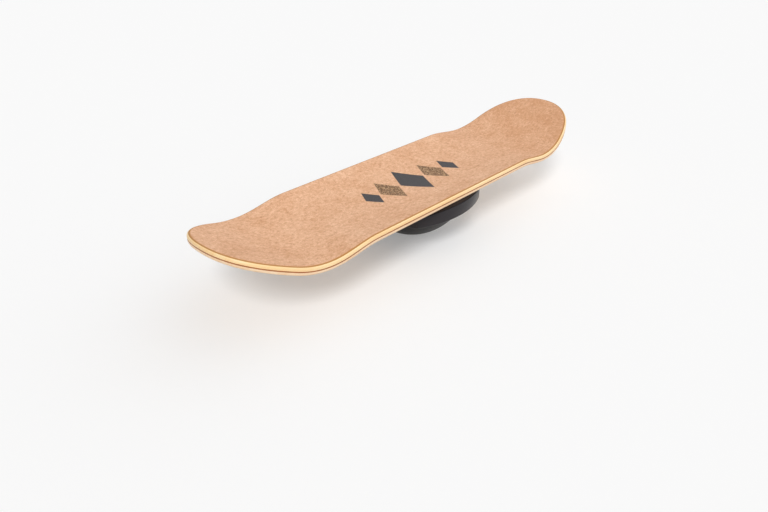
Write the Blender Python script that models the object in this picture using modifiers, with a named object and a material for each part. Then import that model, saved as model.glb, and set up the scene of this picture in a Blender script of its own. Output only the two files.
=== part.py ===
# Spinning balance board: a pressed maple deck that swivels on a hollow rocker dome.
#
# The deck's length lies along X with the nose at +X, its width along Y, and Z is up.
# The origin is on the floor under the middle of the dome. All sizes are in metres.

import math

import bmesh
import bpy
from mathutils import Matrix, Vector

GAP = 0.0003  # left between pieces that touch

# Deck
DECK_LENGTH = 0.800
DECK_WIDTH = 0.206
CORK_THICKNESS = 0.0012
UPPER_VENEERS_THICKNESS = 0.0044
STAINED_VENEER_THICKNESS = 0.0015
BOTTOM_VENEERS_THICKNESS = 0.0044
TOP_INSET = 0.0045  # how far in the top face ends, because the deck's edge is rounded
CORK_BASE_INSET = 0.0024
UNDERSIDE_INSET = 0.0015
NOSE_TAPER_LENGTH = 0.257  # from the tip to where the rails start to close in
NOSE_SHARPNESS = 4.3
NOSE_ROUNDNESS = 2.13
TAIL_TAPER_LENGTH = 0.285
TAIL_SHARPNESS = 5.2
TAIL_ROUNDNESS = 2.3
NOSE_LENGTH = 0.149  # from the tip to where the deck starts to bend up
NOSE_BEND_RADIUS = 0.150
NOSE_ANGLE = 23.5
TAIL_LENGTH = 0.131
TAIL_BEND_RADIUS = 0.154
TAIL_ANGLE = 21.3
CONCAVE = 0.0118  # how far the rails stand above the middle
KICK_CONCAVE = 0.0029
CONCAVE_FADE = 0.080  # length over which the concave fades out before each bend

# Rocker dome: the lower end of an upright ellipsoid
DOME_HALF_WIDTH = 0.1115
DOME_HALF_HEIGHT = 0.1486
DOME_HEIGHT = 0.0580
DOME_WALL = 0.0050
FOOT_RADIUS = 0.0120  # the flat on which the dome stands
RIB_COUNT = 6
RIB_THICKNESS = 0.0030
BOSS_RADIUS = 0.0045

# Bearing carrier, the disc that closes the dome
CARRIER_THICKNESS = 0.0050
CARRIER_DROP = 0.0030  # from the dome's rim down to the carrier's face
CARRIER_EDGE_GAP = 0.0012  # between the carrier's edge and the dome's wall
CARRIER_BORDER = 0.0086  # outside the race, where the carrier is screwed down
CARRIER_SCREW_RADIUS = 0.0018
CARRIER_SCREW_LENGTH = 0.0120
HUB_RADIUS = 0.0115
HUB_LENGTH = 0.0240
HUB_ROOM = 0.0020  # from the hub out to the dome's ribs

# Swivel bearing
RACE_WIDTH = 0.0120
RACE_THICKNESS = 0.0022
RACE_REGISTER = 0.0010  # how deep each race sits in its seat
BALL_RADIUS = 0.0030
BALL_COUNT = 16
GROOVE_DEPTH = 0.0010
GROOVE_RADIUS = 0.0036
CAGE_THICKNESS = 0.0034
CAGE_WIDTH = 0.0110

# Kingpin, the bolt that holds the dome to the collar
KINGPIN_SHOULDER_RADIUS = 0.0050
KINGPIN_THREAD_RADIUS = 0.0040
KINGPIN_THREAD_LENGTH = 0.0125
KINGPIN_HEAD_RADIUS = 0.0095
KINGPIN_HEAD_HEIGHT = 0.0042
THRUST_WASHER_RADIUS = 0.0120
THRUST_WASHER_THICKNESS = 0.0015
BUSH_WALL = 0.0020
BUSH_FLANGE_RADIUS = 0.0105
BUSH_FLANGE_THICKNESS = 0.0012
HUB_INSERT_WALL = 0.0022
HUB_INSERT_LENGTH = 0.0140

# Swivel collar and saddle pad
COLLAR_INSET = 0.0035  # from the deck's rail in to the middle of the collar's side
COLLAR_SIDE_RADIUS = 0.170
COLLAR_CORNER_RADIUS = 0.006
COLLAR_EDGE_RADIUS = 0.0015
COLLAR_RUNNING_GAP = 0.0015  # between the dome's rim and the collar
RIM_ENTRY = 0.0015  # how far the dome's rim reaches into the collar
WEB_THICKNESS = 0.0037
SPOT_FACE_DEPTH = 0.0008
PAD_THICKNESS = 0.0082
COLLAR_SCREW_INSET = 0.0290  # from the middle of the collar's side in to the screws
COLLAR_SCREW_RADIUS = 0.0025
COLLAR_SCREW_HEAD_RADIUS = 0.0048
COLLAR_SCREW_HEAD_HEIGHT = 0.0030
COUNTERBORE_RADIUS = 0.0058
COUNTERBORE_DEPTH = 0.0055

# Threaded inserts in the deck
INSERT_WALL = 0.0012
INSERT_LENGTH = 0.0080
INSERT_RECESS = 0.0008

# End bumpers
BUMPER_RADIUS = 0.0270
BUMPER_HEIGHT = 0.0270
BUMPER_SKIRT = 0.0030
BUMPER_FROM_TIP = 0.1190
BUMPER_RECESS_RADIUS = 0.0080
BUMPER_RECESS_DEPTH = 0.0110
BUMPER_SCREW_RADIUS = 0.0030
BUMPER_SCREW_HEAD_RADIUS = 0.0060
BUMPER_SCREW_HEAD_HEIGHT = 0.0036
BUMPER_WASHER_RADIUS = 0.0072
BUMPER_WASHER_THICKNESS = 0.0012

# Facets
ACROSS = 6
FLAT_STEPS = 2
BEND_STEPS = 6
TIP_STEPS = 6
TURNED_SEGMENTS = 32
PIVOT_SEGMENTS = 16
FASTENER_SEGMENTS = 10

# The dome's foot and the middle of its ellipsoid
FOOT_ANGLE = math.asin(FOOT_RADIUS / DOME_HALF_WIDTH)
DOME_CENTRE = DOME_HALF_HEIGHT * math.cos(FOOT_ANGLE)

# Heights over the floor, from the dome up to the deck
COLLAR_BOTTOM = DOME_HEIGHT - RIM_ENTRY
CARRIER_TOP = DOME_HEIGHT - CARRIER_DROP
CARRIER_BOTTOM = CARRIER_TOP - CARRIER_THICKNESS
RIB_TOP = CARRIER_BOTTOM - GAP
LOWER_SEAT = CARRIER_TOP - RACE_REGISTER
LOWER_RACE_TOP = LOWER_SEAT + GAP + RACE_THICKNESS
BALL_HEIGHT = LOWER_RACE_TOP - GROOVE_DEPTH + GAP + BALL_RADIUS
UPPER_RACE_BOTTOM = 2 * BALL_HEIGHT - LOWER_RACE_TOP
UPPER_SEAT = UPPER_RACE_BOTTOM + RACE_THICKNESS + GAP
WEB_BOTTOM = UPPER_SEAT - RACE_REGISTER
WEB_TOP = UPPER_SEAT + WEB_THICKNESS
SPOT_FACE = WEB_TOP - SPOT_FACE_DEPTH
FLANGE_BOTTOM = WEB_BOTTOM - GAP - BUSH_FLANGE_THICKNESS
HUB_TOP = FLANGE_BOTTOM - GAP
STAINED_DEPTH = CORK_THICKNESS + GAP + UPPER_VENEERS_THICKNESS + GAP
BOTTOM_DEPTH = STAINED_DEPTH + STAINED_VENEER_THICKNESS + GAP
DECK_THICKNESS = BOTTOM_DEPTH + BOTTOM_VENEERS_THICKNESS
PAD_DEPTH = DECK_THICKNESS + GAP
COLLAR_DEPTH = PAD_DEPTH + PAD_THICKNESS + GAP
DECK_TOP = WEB_TOP + COLLAR_DEPTH


def dome_radius(height, inset=0.0):
    """The dome's radius at this height, or that of its inside when it is set in by the wall."""
    share = (DOME_CENTRE - height) / (DOME_HALF_HEIGHT - inset)
    return (DOME_HALF_WIDTH - inset) * math.sqrt(max(1 - share**2, 0.0))


# Other sizes that follow from those above
CARRIER_RADIUS = dome_radius(CARRIER_BOTTOM, DOME_WALL) - CARRIER_EDGE_GAP
RACE_RADIUS = CARRIER_RADIUS - CARRIER_BORDER - RACE_WIDTH / 2
COLLAR_WIDTH = DECK_WIDTH - 2 * COLLAR_INSET
COLLAR_SCREW_SPACING = COLLAR_WIDTH - 2 * COLLAR_SCREW_INSET
BUSH_RADIUS = KINGPIN_SHOULDER_RADIUS + GAP + BUSH_WALL
HUB_INSERT_RADIUS = KINGPIN_THREAD_RADIUS + GAP + HUB_INSERT_WALL
HEAD_ROOM_RADIUS = THRUST_WASHER_RADIUS + 0.0010

COLOURS = {
    "cork": ((0.68, 0.40, 0.23), 0.75, 0.0),
    "maple": ((0.86, 0.72, 0.50), 0.45, 0.0),
    "stained_maple": ((0.42, 0.27, 0.14), 0.50, 0.0),
    "rubber": ((0.035, 0.034, 0.036), 0.70, 0.0),
    "pad": ((0.030, 0.020, 0.014), 0.80, 0.0),
    "collar": ((0.090, 0.086, 0.086), 0.45, 0.0),
    "dome": ((0.095, 0.090, 0.090), 0.40, 0.0),
    "nylon": ((0.80, 0.79, 0.74), 0.40, 0.0),
    "steel": ((0.56, 0.56, 0.57), 0.28, 1.0),
    "black_steel": ((0.06, 0.06, 0.065), 0.40, 1.0),
    "brass": ((0.78, 0.60, 0.28), 0.30, 1.0),
}


# Scene and object helpers


def clear_scene():
    for obj in list(bpy.data.objects):
        bpy.data.objects.remove(obj, do_unlink=True)


def make_collection(name):
    collection = bpy.data.collections.new(name)
    bpy.context.scene.collection.children.link(collection)
    return collection


def make_material(name):
    colour, roughness, metallic = COLOURS[name]
    material = bpy.data.materials.new(name)
    material.use_nodes = True
    shader = material.node_tree.nodes["Principled BSDF"]
    shader.inputs["Base Color"].default_value = (*colour, 1.0)
    shader.inputs["Roughness"].default_value = roughness
    shader.inputs["Metallic"].default_value = metallic
    return material


def add_object(name, mesh, material=None):
    """Links a mesh as a part of the board, or as a hidden cutter when it has no material."""
    obj = bpy.data.objects.new(name, mesh)
    if material:
        if not mesh.materials:
            mesh.materials.append(MATERIALS[material])
        PARTS.objects.link(obj)
        mesh.shade_smooth()
        mesh.set_sharp_from_angle(angle=math.radians(35))
    else:
        CUTTERS.objects.link(obj)
        obj.hide_render = True
        obj.display_type = "WIRE"
    return obj


def mesh_from(name, bm):
    mesh = bpy.data.meshes.new(name)
    bm.to_mesh(mesh)
    bm.free()
    return mesh


def cut(obj, cutter, operation="DIFFERENCE"):
    modifier = obj.modifiers.new(cutter.name, "BOOLEAN")
    modifier.operation = operation
    modifier.solver = "EXACT"
    modifier.object = cutter


def turned(name, profile, segments, material=None, ring=False):
    """A profile of (radius, height) points turned about Z. A ring's profile closes on itself."""
    bm = bmesh.new()
    points = [bm.verts.new((radius, 0.0, height)) for radius, height in profile]
    for first, second in zip(points, points[1:]):
        bm.edges.new((first, second))
    if ring:
        bm.edges.new((points[-1], points[0]))
    obj = add_object(name, mesh_from(name, bm), material)
    screw = obj.modifiers.new("turn", "SCREW")
    screw.steps = segments
    screw.render_steps = segments
    screw.use_merge_vertices = True
    screw.merge_threshold = 0.00001
    return obj


def ring_profile(inner, outer, bottom, top):
    return [(outer, top), (outer, bottom), (inner, bottom), (inner, top)]


def cylinders(name, radius, bottom, top, places, segments=FASTENER_SEGMENTS):
    """A cutter of upright cylinders, one at each (x, y) place."""
    bm = bmesh.new()
    for x, y in places:
        centre = Matrix.Translation((x, y, (bottom + top) / 2))
        sizes = {"segments": segments, "radius1": radius, "radius2": radius, "depth": top - bottom}
        bmesh.ops.create_cone(bm, cap_ends=True, matrix=centre, **sizes)
    return add_object(name, mesh_from(name, bm))


def extruded(name, outline, half_depth, matrix, material=None):
    """A closed outline in its own XY plane, thickened both ways along its Z, then placed."""
    curve = bpy.data.curves.new(name, "CURVE")
    curve.dimensions = "2D"
    curve.fill_mode = "BOTH"
    curve.extrude = half_depth
    spline = curve.splines.new("POLY")
    spline.points.add(len(outline) - 1)
    spline.use_cyclic_u = True
    for point, (x, y) in zip(spline.points, outline):
        point.co = (x, y, 0.0, 1.0)
    holder = bpy.data.objects.new(name + "_outline", curve)
    CUTTERS.objects.link(holder)
    holder.matrix_world = matrix
    bpy.context.view_layer.update()
    evaluated = holder.evaluated_get(bpy.context.evaluated_depsgraph_get())
    mesh = bpy.data.meshes.new_from_object(evaluated)
    bm = bmesh.new()
    bm.from_mesh(mesh)
    bmesh.ops.remove_doubles(bm, verts=bm.verts, dist=0.000001)
    bm.to_mesh(mesh)
    bm.free()
    mesh.materials.clear()
    obj = add_object(name, mesh, material)
    obj.matrix_world = holder.matrix_world.copy()
    bpy.data.objects.remove(holder)
    return obj


def around(count, radius):
    """Places evenly spaced on a circle, the first on +X."""
    turns = [2 * math.pi * i / count for i in range(count)]
    return [(radius * math.cos(turn), radius * math.sin(turn)) for turn in turns]


# The deck's shape


def kick(x):
    """Where the deck bends on this side of its middle, the bend's radius and the kick's angle."""
    if x > 0:
        return DECK_LENGTH / 2 - NOSE_LENGTH, NOSE_BEND_RADIUS, math.radians(NOSE_ANGLE)
    return DECK_LENGTH / 2 - TAIL_LENGTH, TAIL_BEND_RADIUS, math.radians(TAIL_ANGLE)


def kick_height(x):
    start, radius, angle = kick(x)
    reach = max(abs(x) - start, 0.0)
    bend = radius * math.sin(angle)
    if reach < bend:
        return radius - math.sqrt(radius**2 - reach**2)
    return radius * (1 - math.cos(angle)) + (reach - bend) * math.tan(angle)


def rail_lift(x):
    """How far the rails stand above the middle at x, easing from the concave to the kick's."""
    start = kick(x)[0] - CONCAVE_FADE
    share = min(max((abs(x) - start) / CONCAVE_FADE, 0.0), 1.0)
    eased = share**2 * (3 - 2 * share)
    return CONCAVE + (KICK_CONCAVE - CONCAVE) * eased


def half_width(x):
    taper, sharpness, roundness = TAIL_TAPER_LENGTH, TAIL_SHARPNESS, TAIL_ROUNDNESS
    if x > 0:
        taper, sharpness, roundness = NOSE_TAPER_LENGTH, NOSE_SHARPNESS, NOSE_ROUNDNESS
    share = max(abs(x) - DECK_LENGTH / 2 + taper, 0.0) / taper
    return DECK_WIDTH / 2 * max(1 - share**sharpness, 0.0) ** (1 / roundness)


def deck_top(x, y):
    return DECK_TOP + kick_height(x) + rail_lift(x) * (2 * y / DECK_WIDTH) ** 2


def deck_normal(x, y):
    step = 0.0001
    along = (deck_top(x + step, y) - deck_top(x - step, y)) / (2 * step)
    across = (deck_top(x, y + step) - deck_top(x, y - step)) / (2 * step)
    return Vector((-along, -across, 1.0)).normalized()


def deck_point(x, y, depth):
    """The point straight under (x, y) on the face that lies this deep below the deck's top."""
    return Vector((x, y, deck_top(x, y) - depth / deck_normal(x, y).z))


def half_stations(side):
    """Distances from the deck's middle to a tip, closer where it bends and where it rounds off."""
    start, radius, angle = kick(side)
    fade = start - CONCAVE_FADE
    bend_end = start + radius * math.sin(angle)
    tip = DECK_LENGTH / 2
    flat = [fade * i / FLAT_STEPS for i in range(FLAT_STEPS)]
    bend = [fade + (bend_end - fade) * i / BEND_STEPS for i in range(BEND_STEPS)]
    end = [bend_end + (tip - bend_end) * math.sin(math.pi / 2 * i / TIP_STEPS) for i in range(TIP_STEPS + 1)]
    return flat + bend + end


def deck_stations():
    tail = [-x for x in reversed(half_stations(-1))]
    return tail + half_stations(1)[1:]


def deck_slab(name, upper_depth, lower_depth, material=None, upper_inset=0.0, lower_inset=0.0):
    """A slab between two depths under the deck's top face, its outline set in from the deck's."""
    stations = deck_stations()
    steps = len(stations) - 1
    bm = bmesh.new()
    bmesh.ops.create_grid(bm, x_segments=steps, y_segments=ACROSS, size=1.0)
    for vert in bm.verts:
        x = stations[round((vert.co.x + 1) / 2 * steps)]
        vert.co = (x, vert.co.y * half_width(x), 0.0)
    bmesh.ops.remove_doubles(bm, verts=bm.verts, dist=0.000001)
    copied = set(bmesh.ops.extrude_face_region(bm, geom=bm.faces)["geom"])
    for vert in bm.verts:
        depth, inset = (lower_depth, lower_inset) if vert in copied else (upper_depth, upper_inset)
        x = vert.co.x * (1 - 2 * inset / DECK_LENGTH)
        y = vert.co.y * (1 - 2 * inset / DECK_WIDTH)
        vert.co = deck_point(x, y, depth)
    bmesh.ops.recalc_face_normals(bm, faces=bm.faces)
    return add_object(name, mesh_from(name, bm), material)


def make_deck(insert_bores):
    deck_slab("cork_top_sheet", 0.0, CORK_THICKNESS, "cork", TOP_INSET, CORK_BASE_INSET)
    maple_top = CORK_THICKNESS + GAP
    upper = deck_slab("upper_veneers", maple_top, STAINED_DEPTH - GAP, "maple", CORK_BASE_INSET)
    stained = deck_slab("stained_veneer", STAINED_DEPTH, BOTTOM_DEPTH - GAP, "stained_maple")
    bottom = deck_slab("bottom_veneers", BOTTOM_DEPTH, DECK_THICKNESS, "maple", 0.0, UNDERSIDE_INSET)
    for layer in (upper, stained, bottom):
        for bore in insert_bores:
            cut(layer, bore)


# Saddle pad and collar, whose tops follow the deck's underside


def bulged_square():
    """A square with bowed sides and rounded corners, counter-clockwise, as (x, y) points."""
    side_steps = 8
    corner_steps = 3
    centre = COLLAR_SIDE_RADIUS - COLLAR_WIDTH / 2
    reach = COLLAR_SIDE_RADIUS - COLLAR_CORNER_RADIUS
    corner = (math.sqrt(2 * reach**2 - centre**2) - centre) / 2
    half_side = math.atan2(corner, corner + centre)
    points = []
    for quarter in range(4):
        turn = math.pi / 2 * quarter
        for i in range(side_steps):
            angle = turn + half_side * (2 * i / side_steps - 1)
            x = COLLAR_SIDE_RADIUS * math.cos(angle) - centre * math.cos(turn)
            y = COLLAR_SIDE_RADIUS * math.sin(angle) - centre * math.sin(turn)
            points.append((x, y))
        diagonal = turn + math.pi / 4
        middle_x = corner * math.sqrt(2) * math.cos(diagonal)
        middle_y = corner * math.sqrt(2) * math.sin(diagonal)
        for i in range(corner_steps):
            angle = turn + half_side + (math.pi / 2 - 2 * half_side) * i / corner_steps
            x = middle_x + COLLAR_CORNER_RADIUS * math.cos(angle)
            y = middle_y + COLLAR_CORNER_RADIUS * math.sin(angle)
            points.append((x, y))
    return points


def collar_prism(name, bottom, top, material=None):
    middle = Matrix.Translation((0.0, 0.0, (bottom + top) / 2))
    return extruded(name, bulged_square(), (top - bottom) / 2, middle, material)


def collar_screw_places():
    half = COLLAR_SCREW_SPACING / 2
    return [(half, half), (-half, half), (-half, -half), (half, -half)]


def make_saddle_pad(screw_holes, sky):
    pad = deck_slab("saddle_pad", PAD_DEPTH, PAD_DEPTH + PAD_THICKNESS, "pad")
    cut(pad, collar_prism("pad_outline", COLLAR_BOTTOM, sky), "INTERSECT")
    cut(pad, cylinders("head_room", HEAD_ROOM_RADIUS, WEB_BOTTOM, sky, [(0.0, 0.0)], PIVOT_SEGMENTS))
    cut(pad, screw_holes)


def make_collar(screw_holes, sky):
    collar = collar_prism("swivel_collar", COLLAR_BOTTOM, sky, "collar")
    edge = collar.modifiers.new("edge", "BEVEL")
    edge.width = COLLAR_EDGE_RADIUS
    edge.segments = 2
    edge.angle_limit = math.radians(60)
    cut(collar, deck_slab("above_collar", DECK_TOP - sky - COLLAR_DEPTH, COLLAR_DEPTH))
    cut(collar, turned("collar_core", collar_core_profile(sky), TURNED_SEGMENTS))
    cut(collar, screw_holes)
    counterbore_top = COLLAR_BOTTOM + COUNTERBORE_DEPTH
    places = collar_screw_places()
    cut(collar, cylinders("counterbores", COUNTERBORE_RADIUS, COLLAR_BOTTOM - 0.001, counterbore_top, places))


def collar_core_profile(sky):
    """Spot face, bush bore, race seat and the pocket that the dome's rim turns in."""
    pocket = dome_radius(DOME_HEIGHT) + COLLAR_RUNNING_GAP
    bore = BUSH_RADIUS + GAP
    seat_in = RACE_RADIUS - RACE_WIDTH / 2 - GAP
    seat_out = RACE_RADIUS + RACE_WIDTH / 2 + GAP
    return [
        (0.0, sky),
        (HEAD_ROOM_RADIUS, sky),
        (HEAD_ROOM_RADIUS, SPOT_FACE),
        (bore, SPOT_FACE),
        (bore, WEB_BOTTOM),
        (seat_in, WEB_BOTTOM),
        (seat_in, UPPER_SEAT),
        (seat_out, UPPER_SEAT),
        (seat_out, WEB_BOTTOM),
        (pocket, WEB_BOTTOM),
        (pocket, COLLAR_BOTTOM - 0.001),
        (0.0, COLLAR_BOTTOM - 0.001),
    ]


# Rocker dome


def dome_curve(top, inset, low_angle, steps):
    """Points from the given height down the dome's curve to an angle from its axis."""
    half_height = DOME_HALF_HEIGHT - inset
    high_angle = math.acos((DOME_CENTRE - top) / half_height)
    points = []
    for i in range(steps + 1):
        angle = high_angle + (low_angle - high_angle) * i / steps
        radius = (DOME_HALF_WIDTH - inset) * math.sin(angle)
        points.append((radius, DOME_CENTRE - half_height * math.cos(angle)))
    return points


def radial_ribs():
    """A cutter of upright boxes that run outwards from round the hub, past the dome's wall."""
    inner = HUB_RADIUS + HUB_ROOM
    reach = DOME_HALF_WIDTH - inner
    bm = bmesh.new()
    for i in range(RIB_COUNT):
        turn = Matrix.Rotation(2 * math.pi * i / RIB_COUNT, 4, "Z")
        out = Matrix.Translation((inner + reach / 2, 0.0, 0.0))
        size = Matrix.Diagonal((reach, RIB_THICKNESS, 2 * DOME_HEIGHT, 1.0))
        bmesh.ops.create_cube(bm, size=1.0, matrix=turn @ out @ size)
    return add_object("ribs", mesh_from("ribs", bm))


def make_dome():
    outside = dome_curve(DOME_HEIGHT, 0.0, FOOT_ANGLE, 11)
    inside = dome_curve(DOME_HEIGHT, DOME_WALL, 0.0, 6)[::-1]
    dome = turned("dome_shell", inside + outside + [(0.0, 0.0)], TURNED_SEGMENTS, "dome")
    overlap = 0.001
    core_curve = dome_curve(RIB_TOP, DOME_WALL - overlap, 0.0, 7)
    core = turned("dome_core", [(0.0, RIB_TOP)] + core_curve, TURNED_SEGMENTS)
    places = carrier_screw_places()
    for cutter in (radial_ribs(), cylinders("bosses", BOSS_RADIUS, 0.0, DOME_HEIGHT, places)):
        cut(cutter, core, "INTERSECT")
        cut(dome, cutter, "UNION")
    pilot_bottom = CARRIER_TOP - CARRIER_SCREW_LENGTH - GAP
    cut(dome, cylinders("pilot_holes", CARRIER_SCREW_RADIUS + GAP, pilot_bottom, DOME_HEIGHT, places))


# Bearing carrier and its screws


def carrier_screw_places():
    """On the ribs' outer ends, midway between the race's seat and the carrier's edge."""
    seat_out = RACE_RADIUS + RACE_WIDTH / 2 + GAP
    return around(RIB_COUNT, (seat_out + CARRIER_RADIUS) / 2)


def make_carrier():
    seat_in = RACE_RADIUS - RACE_WIDTH / 2 - GAP
    seat_out = RACE_RADIUS + RACE_WIDTH / 2 + GAP
    bore = HUB_INSERT_RADIUS + GAP
    bore_floor = HUB_TOP - HUB_INSERT_LENGTH - 2 * GAP
    profile = [
        (0.0, bore_floor),
        (bore, bore_floor),
        (bore, HUB_TOP),
        (HUB_RADIUS, HUB_TOP),
        (HUB_RADIUS, CARRIER_TOP),
        (seat_in, CARRIER_TOP),
        (seat_in, LOWER_SEAT),
        (seat_out, LOWER_SEAT),
        (seat_out, CARRIER_TOP),
        (CARRIER_RADIUS, CARRIER_TOP),
        (CARRIER_RADIUS, CARRIER_BOTTOM),
        (HUB_RADIUS, CARRIER_BOTTOM),
        (HUB_RADIUS, HUB_TOP - HUB_LENGTH),
        (0.0, HUB_TOP - HUB_LENGTH),
    ]
    carrier = turned("bearing_carrier", profile, TURNED_SEGMENTS, "nylon")
    places = carrier_screw_places()
    cut(carrier, cylinders("carrier_holes", CARRIER_SCREW_RADIUS + GAP, RIB_TOP, DOME_HEIGHT, places))
    head_radius = 2 * CARRIER_SCREW_RADIUS
    head_height = CARRIER_SCREW_RADIUS
    shank_end = -CARRIER_SCREW_LENGTH
    screw_profile = [
        (0.0, head_height),
        (head_radius * 0.7, head_height),
        (head_radius, 0.0),
        (CARRIER_SCREW_RADIUS, 0.0),
        (CARRIER_SCREW_RADIUS, shank_end),
        (0.0, shank_end),
    ]
    for i, (x, y) in enumerate(places):
        screw = turned(f"carrier_screw_{i + 1}", screw_profile, FASTENER_SEGMENTS, "black_steel")
        screw.location = (x, y, CARRIER_TOP + GAP)


# Swivel bearing


def race_profile():
    """A flat ring with a round groove in its upper face, its lower face at height zero."""
    inner = RACE_RADIUS - RACE_WIDTH / 2
    outer = RACE_RADIUS + RACE_WIDTH / 2
    steps = 3
    half_angle = math.acos(1 - GROOVE_DEPTH / GROOVE_RADIUS)
    groove = []
    for i in range(steps + 1):
        angle = half_angle * (2 * i / steps - 1)
        rise = GROOVE_RADIUS * (1 - math.cos(angle))
        groove.append((RACE_RADIUS + GROOVE_RADIUS * math.sin(angle), RACE_THICKNESS - GROOVE_DEPTH + rise))
    return [(outer, RACE_THICKNESS), (outer, 0.0), (inner, 0.0), (inner, RACE_THICKNESS)] + groove


def make_bearing():
    lower = turned("lower_race", race_profile(), TURNED_SEGMENTS, "steel", ring=True)
    lower.location.z = LOWER_SEAT + GAP
    upper = turned("upper_race", race_profile(), TURNED_SEGMENTS, "steel", ring=True)
    upper.location.z = UPPER_RACE_BOTTOM + RACE_THICKNESS
    upper.rotation_euler.x = math.pi
    inner = RACE_RADIUS - CAGE_WIDTH / 2
    outer = RACE_RADIUS + CAGE_WIDTH / 2
    half = CAGE_THICKNESS / 2
    cage_profile = ring_profile(inner, outer, BALL_HEIGHT - half, BALL_HEIGHT + half)
    cage = turned("ball_cage", cage_profile, TURNED_SEGMENTS, "nylon", ring=True)
    places = around(BALL_COUNT, RACE_RADIUS)
    pocket_ends = (BALL_HEIGHT - BALL_RADIUS, BALL_HEIGHT + BALL_RADIUS)
    pockets = cylinders("ball_pockets", BALL_RADIUS + GAP, *pocket_ends, places)
    cut(cage, pockets)
    bm = bmesh.new()
    bmesh.ops.create_uvsphere(bm, u_segments=6, v_segments=5, radius=BALL_RADIUS)
    ball_mesh = mesh_from("bearing_ball", bm)
    for i, (x, y) in enumerate(places):
        ball = add_object(f"bearing_ball_{i + 1:02d}", ball_mesh, "steel")
        ball.location = (x, y, BALL_HEIGHT)


# Kingpin and what it turns in


def make_kingpin():
    washer_bottom = SPOT_FACE + GAP
    washer_top = washer_bottom + THRUST_WASHER_THICKNESS
    bore = KINGPIN_SHOULDER_RADIUS + GAP
    washer = ring_profile(bore, THRUST_WASHER_RADIUS, washer_bottom, washer_top)
    turned("thrust_washer", washer, PIVOT_SEGMENTS, "steel", ring=True)
    bush = [
        (BUSH_RADIUS, SPOT_FACE - GAP),
        (BUSH_RADIUS, WEB_BOTTOM - GAP),
        (BUSH_FLANGE_RADIUS, WEB_BOTTOM - GAP),
        (BUSH_FLANGE_RADIUS, FLANGE_BOTTOM),
        (bore, FLANGE_BOTTOM),
        (bore, SPOT_FACE - GAP),
    ]
    turned("pivot_bush", bush, PIVOT_SEGMENTS, "brass", ring=True)
    insert_top = HUB_TOP - GAP
    thread_bore = KINGPIN_THREAD_RADIUS + GAP
    insert = ring_profile(thread_bore, HUB_INSERT_RADIUS, insert_top - HUB_INSERT_LENGTH, insert_top)
    turned("hub_insert", insert, PIVOT_SEGMENTS, "brass", ring=True)
    head_bottom = washer_top + GAP
    head_top = head_bottom + KINGPIN_HEAD_HEIGHT
    socket_radius = KINGPIN_THREAD_RADIUS * 0.75
    socket_floor = head_bottom + KINGPIN_HEAD_HEIGHT * 0.3
    chamfer = KINGPIN_HEAD_HEIGHT * 0.2
    kingpin = [
        (0.0, socket_floor),
        (socket_radius, socket_floor),
        (socket_radius, head_top),
        (KINGPIN_HEAD_RADIUS - chamfer, head_top),
        (KINGPIN_HEAD_RADIUS, head_top - chamfer),
        (KINGPIN_HEAD_RADIUS, head_bottom),
        (KINGPIN_SHOULDER_RADIUS, head_bottom),
        (KINGPIN_SHOULDER_RADIUS, HUB_TOP),
        (KINGPIN_THREAD_RADIUS, HUB_TOP),
        (KINGPIN_THREAD_RADIUS, HUB_TOP - KINGPIN_THREAD_LENGTH),
        (0.0, HUB_TOP - KINGPIN_THREAD_LENGTH),
    ]
    turned("kingpin_bolt", kingpin, PIVOT_SEGMENTS, "black_steel")


# Screws that enter from below, and their threaded inserts


def upward_screw(name, sizes, length):
    """A screw with its head's seat at height zero and its thread going up."""
    radius, head_radius, head_height = sizes
    socket_radius = head_radius * 0.45
    profile = [
        (0.0, length),
        (radius, length),
        (radius, 0.0),
        (head_radius, 0.0),
        (head_radius, -head_height),
        (socket_radius, -head_height),
        (socket_radius, -head_height * 0.4),
        (0.0, -head_height * 0.4),
    ]
    return turned(name, profile, FASTENER_SEGMENTS, "black_steel")


def threaded_insert(name, thread_radius):
    """An insert with its mouth at height zero."""
    inner = thread_radius + GAP
    profile = ring_profile(inner, inner + INSERT_WALL, 0.0, INSERT_LENGTH)
    return turned(name, profile, FASTENER_SEGMENTS, "brass", ring=True)


def insert_bore_radius(thread_radius):
    return thread_radius + GAP + INSERT_WALL + GAP


def collar_insert_mouth():
    """Height of the collar inserts' mouths, in the deck's underside where the screws meet it."""
    half = COLLAR_SCREW_SPACING / 2
    underside = deck_top(half, half) - DECK_THICKNESS / deck_normal(half, half).z
    return underside + INSERT_RECESS


def make_collar_screws():
    seat = COLLAR_BOTTOM + COUNTERBORE_DEPTH - GAP
    mouth = collar_insert_mouth()
    length = mouth + INSERT_LENGTH - GAP - seat
    sizes = (COLLAR_SCREW_RADIUS, COLLAR_SCREW_HEAD_RADIUS, COLLAR_SCREW_HEAD_HEIGHT)
    for i, (x, y) in enumerate(collar_screw_places()):
        screw = upward_screw(f"collar_screw_{i + 1}", sizes, length)
        screw.location = (x, y, seat)
        insert = threaded_insert(f"collar_insert_{i + 1}", COLLAR_SCREW_RADIUS)
        insert.location = (x, y, mouth)
    radius = insert_bore_radius(COLLAR_SCREW_RADIUS)
    bore_top = mouth + INSERT_LENGTH + GAP
    return cylinders("collar_insert_bores", radius, COLLAR_BOTTOM, bore_top, collar_screw_places())


# End bumpers


def bumper_seat(end, side):
    """An empty on the deck's underside, its Z square to the deck, that carries a bumper's pieces."""
    x = side * (DECK_LENGTH / 2 - BUMPER_FROM_TIP)
    seat = bpy.data.objects.new(f"{end}_bumper_seat", None)
    PARTS.objects.link(seat)
    seat.location = deck_point(x, 0.0, DECK_THICKNESS)
    seat.rotation_mode = "QUATERNION"
    seat.rotation_quaternion = Vector((0.0, 0.0, 1.0)).rotation_difference(deck_normal(x, 0.0))
    return seat


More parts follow.
